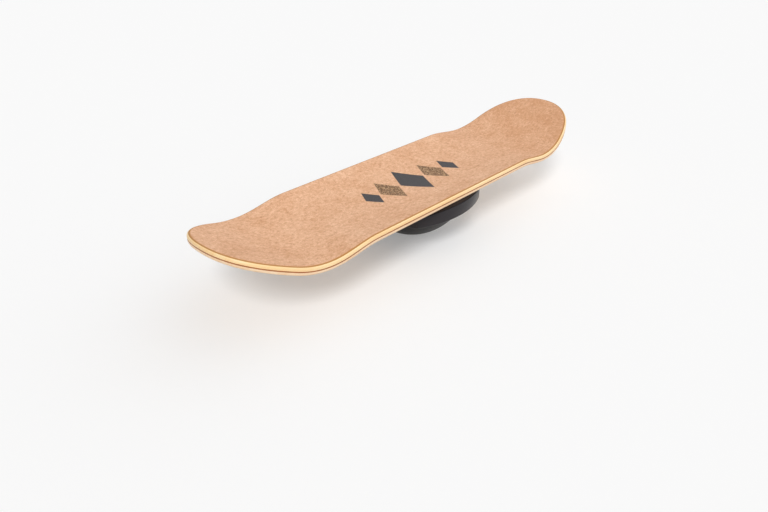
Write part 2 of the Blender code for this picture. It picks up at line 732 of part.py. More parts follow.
def bumper_profile(rise):
    """Half a ball with a short skirt, bored for its screw, with a recess for the head below."""
    bore = BUMPER_SCREW_RADIUS + 2 * GAP
    recess_top = BUMPER_RECESS_DEPTH - BUMPER_HEIGHT
    depth = BUMPER_HEIGHT - BUMPER_SKIRT
    mouth_angle = math.asin(BUMPER_RECESS_RADIUS / BUMPER_RADIUS)
    steps = 6
    profile = [(BUMPER_RADIUS, rise)]
    for i in range(steps + 1):
        angle = math.pi / 2 + (mouth_angle - math.pi / 2) * i / steps
        profile.append((BUMPER_RADIUS * math.sin(angle), -BUMPER_SKIRT - depth * math.cos(angle)))
    return profile + [(BUMPER_RECESS_RADIUS, recess_top), (bore, recess_top), (bore, rise)]


def make_bumper(end, side, deck_space):
    """Builds one end's bumper and fasteners, and returns the bore for its insert in the deck."""
    seat = bumper_seat(end, side)
    bend_radius = kick(side)[1]
    rise = BUMPER_RADIUS**2 / bend_radius + CONCAVE / 2
    bumper = turned(f"{end}_bumper", bumper_profile(rise), 24, "rubber", ring=True)
    cut(bumper, deck_space)
    washer_top = BUMPER_RECESS_DEPTH - BUMPER_HEIGHT - GAP
    washer_bottom = washer_top - BUMPER_WASHER_THICKNESS
    washer_hole = BUMPER_SCREW_RADIUS + GAP
    washer_profile = ring_profile(washer_hole, BUMPER_WASHER_RADIUS, washer_bottom, washer_top)
    washer = turned(f"{end}_bumper_washer", washer_profile, FASTENER_SEGMENTS, "steel", ring=True)
    head_seat = washer_bottom - GAP
    length = INSERT_RECESS + INSERT_LENGTH - GAP - head_seat
    sizes = (BUMPER_SCREW_RADIUS, BUMPER_SCREW_HEAD_RADIUS, BUMPER_SCREW_HEAD_HEIGHT)
    screw = upward_screw(f"{end}_bumper_screw", sizes, length)
    screw.location.z = head_seat
    insert = threaded_insert(f"{end}_bumper_insert", BUMPER_SCREW_RADIUS)
    insert.location.z = INSERT_RECESS
    bore_top = INSERT_RECESS + INSERT_LENGTH + GAP
    bore_radius = insert_bore_radius(BUMPER_SCREW_RADIUS)
    bore = cylinders(f"{end}_insert_bore", bore_radius, -BUMPER_HEIGHT, bore_top, [(0.0, 0.0)])
    for piece in (bumper, washer, screw, insert, bore):
        piece.parent = seat
    return bore


clear_scene()
PARTS = make_collection("spinning_balance_board")
CUTTERS = make_collection("cutters")
MATERIALS = {name: make_material(name) for name in COLOURS}

SKY = DECK_TOP + 2 * CONCAVE
SCREW_HOLES = cylinders("collar_screw_holes", COLLAR_SCREW_RADIUS + 2 * GAP, 0.0, SKY, collar_screw_places())

make_collar(SCREW_HOLES, SKY)
make_saddle_pad(SCREW_HOLES, SKY)
deck_space = deck_slab("deck_space", DECK_TOP - SKY, DECK_THICKNESS + GAP)
bores = [make_collar_screws(), make_bumper("nose", 1, deck_space), make_bumper("tail", -1, deck_space)]
make_deck(bores)
make_kingpin()
make_bearing()
make_carrier()
make_dome()
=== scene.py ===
# %% [markdown]
# A balance board that spins: a pressed maple deck with a cork top stands on a hollow dome,
# and the dome turns on a ball bearing in a moulded collar under the deck. The solids of the
# board come first, as a fixed frame. Everything after that dresses them: smooth skins over
# the faceted ones, plies in the deck's edge, and finishes for wood, cork, plastic and steel.

# %% Load the frame
import math
import operator

import bmesh
import bpy
from mathutils import Matrix, Vector


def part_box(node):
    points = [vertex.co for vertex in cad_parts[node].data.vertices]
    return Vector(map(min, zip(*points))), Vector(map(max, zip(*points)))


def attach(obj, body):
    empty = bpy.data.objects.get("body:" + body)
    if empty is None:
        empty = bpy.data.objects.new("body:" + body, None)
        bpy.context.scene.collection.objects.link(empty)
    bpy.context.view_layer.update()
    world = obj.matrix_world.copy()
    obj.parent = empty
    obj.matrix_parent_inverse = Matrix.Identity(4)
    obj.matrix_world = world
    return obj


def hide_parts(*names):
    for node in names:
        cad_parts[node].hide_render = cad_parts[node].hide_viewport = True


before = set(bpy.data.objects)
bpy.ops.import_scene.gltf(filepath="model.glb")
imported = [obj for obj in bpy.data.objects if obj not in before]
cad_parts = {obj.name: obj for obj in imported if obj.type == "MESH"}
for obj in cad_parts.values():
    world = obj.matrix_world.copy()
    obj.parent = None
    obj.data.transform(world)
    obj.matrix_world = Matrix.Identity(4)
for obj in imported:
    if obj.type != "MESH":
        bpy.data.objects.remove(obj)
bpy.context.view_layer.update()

# %% [markdown]
# The picture to match looks down on the tail of the board from the front left. The camera is
# placed as a photographer would note it: the turn and tilt of its line of sight, how far off it
# stands, and where the middle of the deck then falls in the picture.

# %% Sizes that many cells use
deck_low, deck_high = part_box("stained_veneer")
DECK_LENGTH = deck_high[0] - deck_low[0]
DECK_WIDTH = deck_high[1] - deck_low[1]
GAP = 0.0003  # left between pieces that touch
scene = bpy.context.scene

# %% Camera
PICTURE_WIDTH = 768
FLAT_TOP = 0.0885  # the middle of the deck's upper face over the floor
CAMERA_TURN = math.radians(-47.23)
CAMERA_TILT = math.radians(29.46)
CAMERA_ROLL = math.radians(-0.22)
CAMERA_DISTANCE = 1.0896
DECK_RIGHT_OF_SIGHT = 0.0461
DECK_ABOVE_SIGHT = 0.1238
FOCAL_LENGTH = 664.4  # in pixels of the picture

right = Vector((math.cos(CAMERA_TURN), math.sin(CAMERA_TURN), 0.0))
back = Vector((
    math.sin(CAMERA_TURN) * math.cos(CAMERA_TILT),
    -math.cos(CAMERA_TURN) * math.cos(CAMERA_TILT),
    math.sin(CAMERA_TILT),
))
up = back.cross(right)
rolled_right = right * math.cos(CAMERA_ROLL) + up * math.sin(CAMERA_ROLL)
rolled_up = up * math.cos(CAMERA_ROLL) - right * math.sin(CAMERA_ROLL)
eye = Vector((0.0, 0.0, FLAT_TOP)) + back * CAMERA_DISTANCE
eye -= rolled_right * DECK_RIGHT_OF_SIGHT + rolled_up * DECK_ABOVE_SIGHT

camera_data = bpy.data.cameras.new("camera")
camera_data.sensor_width = 36.0
camera_data.sensor_fit = "HORIZONTAL"
camera_data.lens = FOCAL_LENGTH / PICTURE_WIDTH * camera_data.sensor_width
camera = bpy.data.objects.new("camera", camera_data)
scene.collection.objects.link(camera)
placed = Matrix((rolled_right, rolled_up, back)).transposed().to_4x4()
camera.matrix_world = Matrix.Translation(eye) @ placed
scene.camera = camera
print("the camera stands at", [round(value, 3) for value in eye])

# %% [markdown]
# Shader trees and geometry trees are both made of nodes, and long chains of Math nodes are
# hard to read. A small class wraps a socket, so that sums can be written as sums: each
# operator adds its Math node. The reflected forms, such as the one behind 1 - mask, let a
# number stand on either side.


# %% Sums on sockets
def operator_for(operation, reflected=False):
    """The method behind an operator, which adds that operation's Math node."""

    def add_node(term, *others):
        values = (*others, term) if reflected else (term, *others)
        return term.tree.maths(operation, *values)

    return add_node


class Term:
    """A node's output that takes part in sums."""

    def __init__(self, tree, socket):
        self.tree = tree
        self.socket = socket

    __add__ = __radd__ = operator_for("ADD")
    __sub__ = operator_for("SUBTRACT")
    __rsub__ = operator_for("SUBTRACT", reflected=True)
    __mul__ = __rmul__ = operator_for("MULTIPLY")
    __truediv__ = operator_for("DIVIDE")
    __rtruediv__ = operator_for("DIVIDE", reflected=True)
    __pow__ = operator_for("POWER")
    __abs__ = operator_for("ABSOLUTE")


class Tree:
    """Writes a node tree, one node at a time."""

    def __init__(self, tree):
        self.tree = tree

    def feed(self, node, inputs):
        """Links or sets a node's inputs, named by socket name or number."""
        for name, value in inputs.items():
            if isinstance(value, Term):
                self.tree.links.new(value.socket, node.inputs[name])
            else:
                node.inputs[name].default_value = value

    def node(self, kind, settings=None, inputs=None, output=0):
        """Adds a node, sets it up, feeds its inputs and returns one of its outputs."""
        node = self.tree.nodes.new(kind)
        for name, value in (settings or {}).items():
            if name == "stops":
                self.set_stops(node.color_ramp, value)
            else:
                setattr(node, name, value)
        self.feed(node, inputs or {})
        return Term(self, node.outputs[output])

    def set_stops(self, ramp, stops):
        for place, colour in stops[2:]:
            ramp.elements.new(place)
        for element, (place, colour) in zip(ramp.elements, stops):
            element.position = place
            element.color = colour

    def maths(self, operation, *values):
        return self.node("ShaderNodeMath", {"operation": operation}, dict(enumerate(values)))

    def joined(self, x, y, z):
        return self.node("ShaderNodeCombineXYZ", None, {"X": x, "Y": y, "Z": z})

    def parts(self, vector):
        """The X, Y and Z of a vector."""
        first = self.node("ShaderNodeSeparateXYZ", None, {"Vector": vector})
        return [Term(self, socket) for socket in first.socket.node.outputs]


# %% [markdown]
# The deck's shape is one formula: a flat middle, an arc and a straight kick at each end, and
# rails that stand above the middle. The deck's skins need it as nodes, and the pieces under it
# as plain numbers, so the few functions below take either. The formula also gives how steep the
# face is, because a layer of even thickness is deeper, measured straight down, where it slopes.


# %% Functions that take numbers or sockets
def either_kind(operation, plain):
    """A function that adds a Math node for a term, and works out a plain number."""

    def work_out(value, *others):
        if isinstance(value, Term):
            return value.tree.maths(operation, value, *others)
        return plain(value, *others)

    return work_out


root = either_kind("SQRT", math.sqrt)
least = either_kind("MINIMUM", min)
most = either_kind("MAXIMUM", max)
is_over = either_kind("GREATER_THAN", operator.gt)


# %% The deck's shape
DECK_THICKNESS = 0.0124
NOSE_LENGTH = 0.149  # from the tip to where the deck starts to bend up
NOSE_BEND_RADIUS = 0.150
NOSE_ANGLE = math.radians(23.5)
TAIL_LENGTH = 0.131
TAIL_BEND_RADIUS = 0.154
TAIL_ANGLE = math.radians(21.3)
NOSE_BEND = NOSE_BEND_RADIUS * math.sin(NOSE_ANGLE)  # how far along the deck the arc runs
TAIL_BEND = TAIL_BEND_RADIUS * math.sin(TAIL_ANGLE)
CONCAVE = 0.0118  # how far the rails stand above the middle
KICK_CONCAVE = 0.0029
CONCAVE_FADE = 0.080  # the length over which the first turns into the second
NOSE_TAPER_LENGTH = 0.257  # from the tip to where the rails start to close in
NOSE_SHARPNESS = 4.3
NOSE_ROUNDNESS = 2.13
TAIL_TAPER_LENGTH = 0.285
TAIL_SHARPNESS = 5.2
TAIL_ROUNDNESS = 2.3
NEARLY_ONE = 0.999999  # so that both tips close to a point
STAINED_TOP = 0.0062  # how deep the frame's stained ply lies


def at_end(x, nose_value, tail_value):
    return tail_value + (nose_value - tail_value) * is_over(x, 0.0)


def deck_height(x, y, depth):
    """The height of the face that lies this deep in the deck, over (x, y) on the floor."""
    start = DECK_LENGTH / 2 - at_end(x, NOSE_LENGTH, TAIL_LENGTH)
    radius = at_end(x, NOSE_BEND_RADIUS, TAIL_BEND_RADIUS)
    bend = at_end(x, NOSE_BEND, TAIL_BEND)
    slope = at_end(x, math.tan(NOSE_ANGLE), math.tan(TAIL_ANGLE))
    reach = most(abs(x) - start, 0.0)
    curved = least(reach, bend)
    drop = root(radius * radius - curved * curved)
    share = least(most((abs(x) - start + CONCAVE_FADE) / CONCAVE_FADE, 0.0), 1.0)
    change = KICK_CONCAVE - CONCAVE
    lift = CONCAVE + change * share * share * (3.0 - 2.0 * share)
    across = y / (DECK_WIDTH / 2)
    top = FLAT_TOP + radius - drop + (reach - curved) * slope + lift * across * across
    fade_slope = change * 6.0 / CONCAVE_FADE * share * (1.0 - share)
    along_slope = curved / drop + fade_slope * across * across
    across_slope = lift * across * (4.0 / DECK_WIDTH)
    steepness = root(along_slope * along_slope + across_slope * across_slope + 1.0)
    return top - steepness * depth


def deck_half_width(x):
    taper = at_end(x, NOSE_TAPER_LENGTH, TAIL_TAPER_LENGTH)
    share = most(abs(x) - DECK_LENGTH / 2 + taper, 0.0) / taper
    closing = most(NEARLY_ONE - share ** at_end(x, NOSE_SHARPNESS, TAIL_SHARPNESS), 0.0)
    return closing ** (1.0 / at_end(x, NOSE_ROUNDNESS, TAIL_ROUNDNESS)) * (DECK_WIDTH / 2)


nose_tip = deck_height(DECK_LENGTH / 2, 0.0, STAINED_TOP)
print("nose tip", round(nose_tip, 4), "in the frame", round(deck_high[2], 4))


# %% [markdown]
# Each layer of the deck is grown by one geometry tree. A cube divided into a lattice is already
# a closed skin, so it is enough to move its points: along the deck they bunch towards the tips,
# across they fill the outline, and through its thickness they lie between two depths. A point
# near the deck's upper or lower face is drawn in, as a router bit would leave it. The depth of
# each point is kept as an attribute before the points move, and the finishes read the plies
# from it.


# %% Grow meshes from geometry trees
def new_growth(name, sockets):
    """An empty geometry tree with these named inputs, and a term for each."""
    group = bpy.data.node_groups.new(name, "GeometryNodeTree")
    group.interface.new_socket("Geometry", in_out="OUTPUT", socket_type="NodeSocketGeometry")
    for label, kind in sockets.items():
        group.interface.new_socket(label, in_out="INPUT", socket_type="NodeSocket" + kind)
    tree = Tree(group)
    entry = group.nodes.new("NodeGroupInput")
    return tree, {label: Term(tree, entry.outputs[label]) for label in sockets}


def close_growth(tree, geometry, material):
    """Ends a tree: instances become real, and the material is set."""
    real = tree.node("GeometryNodeRealizeInstances", None, {"Geometry": geometry})
    painted = tree.node("GeometryNodeSetMaterial", None, {"Geometry": real, "Material": material})
    end = tree.tree.nodes.new("NodeGroupOutput")
    tree.feed(end, {"Geometry": painted})
    return tree.tree


def grow(name, group, values):
    """Runs a geometry tree with these input values and keeps the result as a plain mesh."""
    seed = bpy.data.objects.new(name + "_seed", bpy.data.meshes.new(name + "_seed"))
    scene.collection.objects.link(seed)
    growth = seed.modifiers.new("growth", "NODES")
    growth.node_group = group
    for item in group.interface.items_tree:
        if item.in_out == "INPUT" and item.name in values:
            growth[item.identifier] = values[item.name]
    mesh = result_of(seed)
    bpy.data.objects.remove(seed)
    return add_piece(name, mesh)


def result_of(piece):
    """What a piece's modifiers make of it, as a plain mesh."""
    evaluated = piece.evaluated_get(bpy.context.evaluated_depsgraph_get())
    return bpy.data.meshes.new_from_object(evaluated)


def add_piece(name, mesh, material=None, crease=35.0):
    """Links a finished mesh as a smooth piece whose edges stay sharp past an angle."""
    mesh.name = name
    if material:
        mesh.materials.clear()
        mesh.materials.append(material)
    mesh.shade_smooth()
    mesh.set_sharp_from_angle(angle=math.radians(crease))
    piece = bpy.data.objects.new(name, mesh)
    scene.collection.objects.link(piece)
    return piece


# %% The tree that grows a layer of the deck
MERGE_DISTANCE = 0.00001


def drawn_in(depth, width, height):
    """How far in a rounded edge of this width and height lies, at this depth."""
    near = least(most(1.0 - depth / height, 0.0), 1.0)
    return width * (1.0 - root(1.0 - near * near))


def deck_layer_tree():
    sockets = {
        "Upper Depth": "Float",
        "Lower Depth": "Float",
        "Edge Width": "Float",
        "Edge Height": "Float",
        "Lower Edge Radius": "Float",
        "Steps Along": "Int",
        "Steps Across": "Int",
        "Steps Through": "Int",
        "Material": "Material",
    }
    tree, size = new_growth("deck_layer", sockets)
    lattice_inputs = {
        "Size": (2.0, 2.0, 2.0),  # from -1 to 1 each way
        "Vertices X": size["Steps Along"],
        "Vertices Y": size["Steps Across"],
        "Vertices Z": size["Steps Through"],
    }
    lattice = tree.node("GeometryNodeMeshCube", None, lattice_inputs)
    along, across, through = tree.parts(tree.node("GeometryNodeInputPosition"))
    middle_depth = (size["Upper Depth"] + size["Lower Depth"]) * 0.5
    depth = middle_depth - through * (size["Lower Depth"] - size["Upper Depth"]) * 0.5
    lower_edge = size["Lower Edge Radius"]
    inset = drawn_in(depth, size["Edge Width"], size["Edge Height"])
    inset = inset + drawn_in(DECK_THICKNESS - depth, lower_edge, lower_edge)
    x = tree.maths("SINE", along * (math.pi / 2)) * (DECK_LENGTH / 2)
    y = deck_half_width(x) * across
    drawn_x = x * (1.0 - inset * (2.0 / DECK_LENGTH))
    drawn_y = y * (1.0 - inset * (2.0 / DECK_WIDTH))
    marked = tree.node(
        "GeometryNodeStoreNamedAttribute",
        {"data_type": "FLOAT", "domain": "POINT"},
        {"Geometry": lattice, "Name": "ply_depth", "Value": depth},
    )
    place = tree.joined(drawn_x, drawn_y, deck_height(drawn_x, drawn_y, depth))
    moved = tree.node("GeometryNodeSetPosition", None, {"Geometry": marked, "Position": place})
    joining = {"Geometry": moved, "Distance": MERGE_DISTANCE}
    merged = tree.node("GeometryNodeMergeByDistance", None, joining)
    return close_growth(tree, merged, size["Material"])


# %% [markdown]
# Colours are noted as they look, from 0 to 255, and shaders want linear light, so one function
# turns the first into the second.


# %% Colours and finishes
def tone(red, green, blue):
    """A colour as it looks on a screen, in linear light."""
    shares = [value / 255 for value in (red, green, blue)]
    linear = [s / 12.92 if s <= 0.04045 else ((s + 0.055) / 1.055) ** 2.4 for s in shares]
    return (*linear, 1.0)


def new_finish(name):
    """A material, its tree, and the shader that the tree feeds."""
    finish = bpy.data.materials.new(name)
    finish.use_nodes = True
    return finish, Tree(finish.node_tree), finish.node_tree.nodes["Principled BSDF"]


def place_on_object(tree):
    return tree.node("ShaderNodeTexCoord", None, None, "Object")


def noise(tree, vector, scale, detail=2.0, roughness=0.5):
    inputs = {"Vector": vector, "Scale": scale, "Detail": detail, "Roughness": roughness}
    return tree.node("ShaderNodeTexNoise", None, inputs)


def stretched_noise(tree, place, cells, detail=2.0, roughness=0.5):
    """Noise with this many cells in a metre along the deck, and this many across it."""
    x, y, z = tree.parts(place)
    along, across = cells
    drawn_out = tree.joined(x * along, y * across, z * across)
    return noise(tree, drawn_out, 1.0, detail, roughness)


def mixed(tree, share, first, second):
    """A colour between two, by a share from 0 to 1."""
    return tree.node("ShaderNodeMix", {"data_type": "RGBA"}, {0: share, 6: first, 7: second}, 2)


def bumped(tree, height, depth, strength):
    inputs = {"Strength": strength, "Distance": depth, "Height": height}
    return tree.node("ShaderNodeBump", None, inputs, "Normal")


def ply_depth(tree):
    """How deep in the deck the surface lies, as its layer kept it."""
    return tree.node("ShaderNodeAttribute", {"attribute_name": "ply_depth"}, None, "Fac")


def between(value, low, high):
    """How far a value has come from low to high, kept from 0 to 1."""
    return least(most((value - low) / (high - low), 0.0), 1.0)


# %% [markdown]
# The top is a thin sheet of cork: pale granules pressed with a binder, a little darker where
# the binder pools, and mottled over a hand's width. Towards the nose, and a little towards the
# tail, the cork is darkened by painted shade on the kicks. In its middle is a printed
# ornament, a row of lozenges that shrink towards both ends. Two are filled with coarse dark
# cork granules, and the rest are charcoal.

# %% Cork
CORK_DEPTH = 0.00135
CORK_PALE = tone(248, 202, 166)
CORK_DEEP = tone(212, 156, 114)
CORK_FLECK = tone(184, 124, 84)
CORK_BINDER = tone(188, 132, 94)
CORK_EDGE_TONE = tone(186, 130, 70)
CHARCOAL = tone(58, 55, 57)
GRANULE_SCALE = 620.0
COARSE_GRANULE_SCALE = 820.0
MOTTLING_SCALE = 170.0
DRIFT_SCALE = 22.0
FLECKS = (150.0, 260.0)  # cells in a metre, along the deck and across it
CORK_RELIEF = 0.00012
DARK_CORK_STOPS = [
    (0.0, tone(62, 40, 26)),
    (0.35, tone(124, 90, 60)),
    (0.7, tone(164, 126, 90)),
    (1.0, tone(216, 180, 138)),
]
# painted shade: how far the cork is darkened towards the nose and towards the tail
NOSE_PAINTED_SHADE = (0.10, 0.40, 0.17)  # where it starts, where it is full, how much
TAIL_PAINTED_SHADE = (-0.20, -0.40, 0.05)
LOZENGE_HALF_LENGTHS = (0.0150, 0.0215, 0.0280, 0.0215, 0.0150)
LOZENGE_SLENDERNESS = 1.7  # across the deck, against along it
LOZENGE_SPACE = 0.004
LOZENGE_BLUR = 0.0003  # the width of the print's soft edge


def lozenge_masks(tree, place):
    """A mask for the charcoal lozenges and one for the granular ones, by turns in one row."""
    x, y = tree.parts(place)[:2]
    total = 2 * sum(LOZENGE_HALF_LENGTHS) + LOZENGE_SPACE * (len(LOZENGE_HALF_LENGTHS) - 1)
    start = -total / 2
    insides = []
    for half in LOZENGE_HALF_LENGTHS:
        reach = abs(x - (start + half)) / half + abs(y) / (half * LOZENGE_SLENDERNESS)
        insides.append(between(1.0 - reach, 0.0, LOZENGE_BLUR / half))
        start += 2 * half + LOZENGE_SPACE
    return sum(insides[::2]), sum(insides[1::2])


def granules(tree, place, scale):
    """A random value for each granule."""
    cells = tree.node("ShaderNodeTexVoronoi", None, {"Vector": place, "Scale": scale}, "Color")
    return tree.parts(cells)[0]


def make_cork():
    cork, tree, shader = new_finish("cork")
    place = place_on_object(tree)
    x = tree.parts(place)[0]
    granule_tone = granules(tree, place, GRANULE_SCALE)
    sizing = {"Vector": place, "Scale": GRANULE_SCALE}
    binder = tree.node("ShaderNodeTexVoronoi", {"feature": "DISTANCE_TO_EDGE"}, sizing)
    mottling = noise(tree, place, MOTTLING_SCALE, 4.0, 0.62)
    drift = noise(tree, place, DRIFT_SCALE, 3.0, 0.6)
    paleness = granule_tone * 0.3 + mottling * 0.9 + drift * 0.6
    # painted shade: the cork is darkened towards both ends
    for start, full, amount in (NOSE_PAINTED_SHADE, TAIL_PAINTED_SHADE):
        paleness = paleness - between(x, start, full) * amount
    plain = mixed(tree, between(paleness, 0.6, 1.2), CORK_DEEP, CORK_PALE)
    flecks = stretched_noise(tree, place, FLECKS)
    flecked = mixed(tree, between(flecks, 0.58, 0.68) * 0.4, plain, CORK_FLECK)
    shaded = mixed(tree, between(binder, 0.05, 0.0) * 0.2, flecked, CORK_BINDER)
    # the cork's cut edge is darker and more golden
    edge = between(ply_depth(tree), CORK_DEPTH * 0.1, CORK_DEPTH * 0.35)
    edge_toned = mixed(tree, edge, shaded, CORK_EDGE_TONE)
    coarse_tone = granules(tree, place, COARSE_GRANULE_SCALE)
    dark_cork = tree.node("ShaderNodeValToRGB", {"stops": DARK_CORK_STOPS}, {"Fac": coarse_tone})
    charcoal_mask, granular_mask = lozenge_masks(tree, place)
    inlaid = mixed(tree, granular_mask, edge_toned, dark_cork)
    printed = mixed(tree, charcoal_mask, inlaid, CHARCOAL)
    relief = granule_tone * 0.5 + between(binder, 0.0, 0.12)
    tree.feed(shader, {
        "Base Color": printed,
        "Roughness": 0.62 + mottling * 0.12 - charcoal_mask * 0.1,
        "Specular IOR Level": 0.4,
        "Normal": bumped(tree, relief, CORK_RELIEF, 0.5),
    })
    return cork


# %% [markdown]
# Maple is pale and close-grained. Its colour runs in long fibres, so the noise that draws them
# is stretched along the deck. In the deck's edge the plies show: thin lines where they are
# glued, and every second ply turned across the board, a little darker, as its fibres are cut
# end on.

# %% Maple
UPPER_VENEERS_DEPTH = 0.00605
STAINED_DEPTH = 0.00785
UPPER_PLY_COUNT = 3
PLY_THICKNESS = (UPPER_VENEERS_DEPTH - CORK_DEPTH) / UPPER_PLY_COUNT
GLUE = tone(200, 138, 76)
FIBRES = (9.0, 700.0)  # cells in a metre, as above
RAYS = (60.0, 240.0)
FIGURE = (2.2, 26.0)
FIGURE_BANDS = 34.0
FIBRE_RELIEF = 0.00005


def make_maple(name, pale, deep, shows_plies=False):
    """A maple finish, in which glue lines and cross plies may show, as in the deck's edge."""
    maple, tree, shader = new_finish(name)
    place = place_on_object(tree)
    fibres = stretched_noise(tree, place, FIBRES, 3.0, 0.6)
    rays = stretched_noise(tree, place, RAYS)
    figure = stretched_noise(tree, place, FIGURE, 3.0, 0.55)
    bands = tree.maths("SINE", figure * FIGURE_BANDS) * 0.5 + 0.5
    depth_of_grain = fibres * 0.45 + bands * 0.22 + rays * 0.25
    shade = between(depth_of_grain, 0.2, 0.8)
    colour = mixed(tree, shade, pale, deep)
    if shows_plies:
        plies = (ply_depth(tree) - CORK_DEPTH) / PLY_THICKNESS
        ply = tree.maths("FLOOR", plies)
        within = abs(plies - ply - 0.5) * 2.0
        cross_ply = tree.maths("PINGPONG", ply, 1.0)
        colour = mixed(tree, cross_ply * 0.35, colour, deep)
        colour = mixed(tree, between(within, 0.86, 1.0) * 0.55, colour, GLUE)
    tree.feed(shader, {
        "Base Color": colour,
        "Roughness": 0.42 + shade * 0.12,
        "Coat Weight": 0.08,
        "Coat Roughness": 0.3,
        "Normal": bumped(tree, fibres, FIBRE_RELIEF, 0.4),
    })
    return maple


# %% [markdown]
# The dome and the collar are moulded in black plastic with a fine spark texture, which scatters
# the light and lifts the black to a dark grey. The dome's foot, which rolls on the floor, is
# scuffed paler. Rubber and foam are the same idea, with a coarser, softer relief.


# %% Plastic and rubber
GRAIN_FACTOR = 1.35  # how much paler the high spots are
GRAIN_LIFT = 0.012
SCRATCHES = (900.0, 260.0)
SCUFF = tone(150, 146, 142)


def make_moulded(name, colour, grain, roughness, scuff_height=None):
    """A moulded finish with a grain of this size. Below the scuff height it is worn paler."""
    plastic, tree, shader = new_finish(name)
    place = place_on_object(tree)
    texture = noise(tree, place, 1.0 / grain, 3.0, 0.7)
    cloud = noise(tree, place, 18.0, 2.0)
    lifted = [min(channel * GRAIN_FACTOR + GRAIN_LIFT, 1.0) for channel in colour[:3]]
    shaded = mixed(tree, texture * 0.5 + cloud * 0.3, colour, (*lifted, 1.0))
    rough = roughness + (cloud - 0.5) * 0.12
    if scuff_height:
        height = tree.parts(place)[2]
        scratches = stretched_noise(tree, place, SCRATCHES, 4.0, 0.7)
        worn = between(height, scuff_height, 0.0) * between(scratches, 0.48, 0.62)
        shaded = mixed(tree, worn * 0.45, shaded, SCUFF)
        rough = rough + worn * 0.2
    tree.feed(shader, {
        "Base Color": shaded,
        "Roughness": rough,
        "Specular IOR Level": 0.22,
        "Normal": bumped(tree, texture, grain * 0.25, 0.5),
    })
    return plastic


# %% [markdown]
# Metal takes its looks from its reflections, so its finish is mostly roughness. Turned and
# rolled parts show fine rings about their own axis, which here come from noise on height.


# %% Metal
HANDLED = tone(150, 146, 140)
RINGS_ALONG_AXIS = 6000.0  # in a metre
RINGS_BREAK = 60.0  # in a metre on their way round
RING_RELIEF = 0.00002


def make_metal(name, colour, roughness, wear):
    metal, tree, shader = new_finish(name)
    place = place_on_object(tree)
    x, y, z = tree.parts(place)
    drawn_round = tree.joined(x * RINGS_BREAK, y * RINGS_BREAK, z * RINGS_ALONG_AXIS)
    rings = noise(tree, drawn_round, 1.0)
    marks = noise(tree, place, 260.0, 4.0, 0.65)
    handled = mixed(tree, between(marks, 0.5, 0.75) * wear, colour, HANDLED)
    tree.feed(shader, {
        "Base Color": handled,
        "Metallic": 1.0,
        "Roughness": roughness + rings * 0.12 + marks * 0.1,
        "Normal": bumped(tree, rings, RING_RELIEF, 0.4),
    })
    return metal


# %% Make the finishes
CORK = make_cork()
MAPLE_EDGE = make_maple("maple_plies", tone(255, 232, 184), tone(250, 202, 138), True)
MAPLE_FACE = make_maple("maple_face", tone(255, 228, 194), tone(245, 198, 150))
STAINED = make_maple("stained_maple", tone(188, 114, 56), tone(150, 84, 40))
DOME_PLASTIC = make_moulded("dome_plastic", tone(18, 16, 14), 0.0006, 0.46, 0.006)
COLLAR_PLASTIC = make_moulded("collar_plastic", tone(38, 34, 37), 0.0006, 0.30)
RUBBER = make_moulded("bumper_rubber", tone(40, 39, 41), 0.0009, 0.6)
FOAM = make_moulded("pad_foam", tone(42, 30, 24), 0.0011, 0.85)
NYLON = make_moulded("natural_nylon", tone(226, 223, 212), 0.0008, 0.45)
STEEL = make_metal("ground_steel", tone(196, 196, 198), 0.2, 0.2)
BLACK_STEEL = make_metal("blackened_steel", tone(58, 57, 58), 0.35, 0.35)
BRASS = make_metal("turned_brass", tone(206, 170, 100), 0.24, 0.25)
print("finishes:", len(bpy.data.materials))


# %% [markdown]
# Now the deck. The frame keeps a hair's breadth of air between the layers. Glued wood has none,
# so each skin reaches to the middle of that gap.

# %% Grow the deck's layers
EDGE_WIDTH = 0.0065  # the upper edge is rounded over, wider than it is deep
EDGE_HEIGHT = 0.0052
LOWER_EDGE_RADIUS = 0.0024
ALONG = 221  # points of the lattice
ACROSS = 33
LAYERS = {
    "cork_top_sheet": (0.0, CORK_DEPTH, 9, CORK),
    "upper_veneers": (CORK_DEPTH, UPPER_VENEERS_DEPTH, 9, MAPLE_EDGE),
    "stained_veneer": (UPPER_VENEERS_DEPTH, STAINED_DEPTH, 3, STAINED),
    "bottom_veneers": (STAINED_DEPTH, DECK_THICKNESS, 11, MAPLE_FACE),
}
layer_tree = deck_layer_tree()
for node, (upper, lower, through, material) in LAYERS.items():
    values = {
        "Upper Depth": upper,
        "Lower Depth": lower,
        "Edge Width": EDGE_WIDTH,
        "Edge Height": EDGE_HEIGHT,
        "Lower Edge Radius": LOWER_EDGE_RADIUS,
        "Steps Along": ALONG,
        "Steps Across": ACROSS,
        "Steps Through": through,
        "Material": material,
    }
    skin = grow(node + "_skin", layer_tree, values)
    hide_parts(node)
    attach(skin, "deck")
    print(node, "has", len(skin.data.polygons), "faces")


# %% [markdown]
# The pieces under the deck are closed skins made of rings, and neighbouring rings are joined by
# a band of faces. A ring may be a circle, the bowed square of the collar, or a hexagon, as long
# as all rings of a piece have the same number of points and start in the same direction.


# %% Join rings into a skin
WELD_DISTANCE = 0.000005


def skin_from(name, rings, material, loop=False, crease=35.0):
    """Joins rings of points. A loop of rings closes on itself; otherwise the ends are poles."""
    bm = bmesh.new()
    rows = [[bm.verts.new(point) for point in ring] for ring in rings]
    if loop:
        rows.append(rows[0])
    for first, second in zip(rows, rows[1:]):
        add_band(bm, first, second)
    bmesh.ops.remove_doubles(bm, verts=bm.verts, dist=WELD_DISTANCE)
    return add_piece(name, mesh_from(bm, name), material, crease)


def add_band(bm, first, second):
    """The faces between two rings."""
    for i in range(len(first)):
        j = (i + 1) % len(first)
        bm.faces.new((first[i], first[j], second[j], second[i]))


def mesh_from(bm, name):
    """Turns the faces outwards and keeps them as a mesh."""
    bmesh.ops.recalc_face_normals(bm, faces=bm.faces)
    mesh = bpy.data.meshes.new(name)
    bm.to_mesh(mesh)
    bm.free()
    return mesh


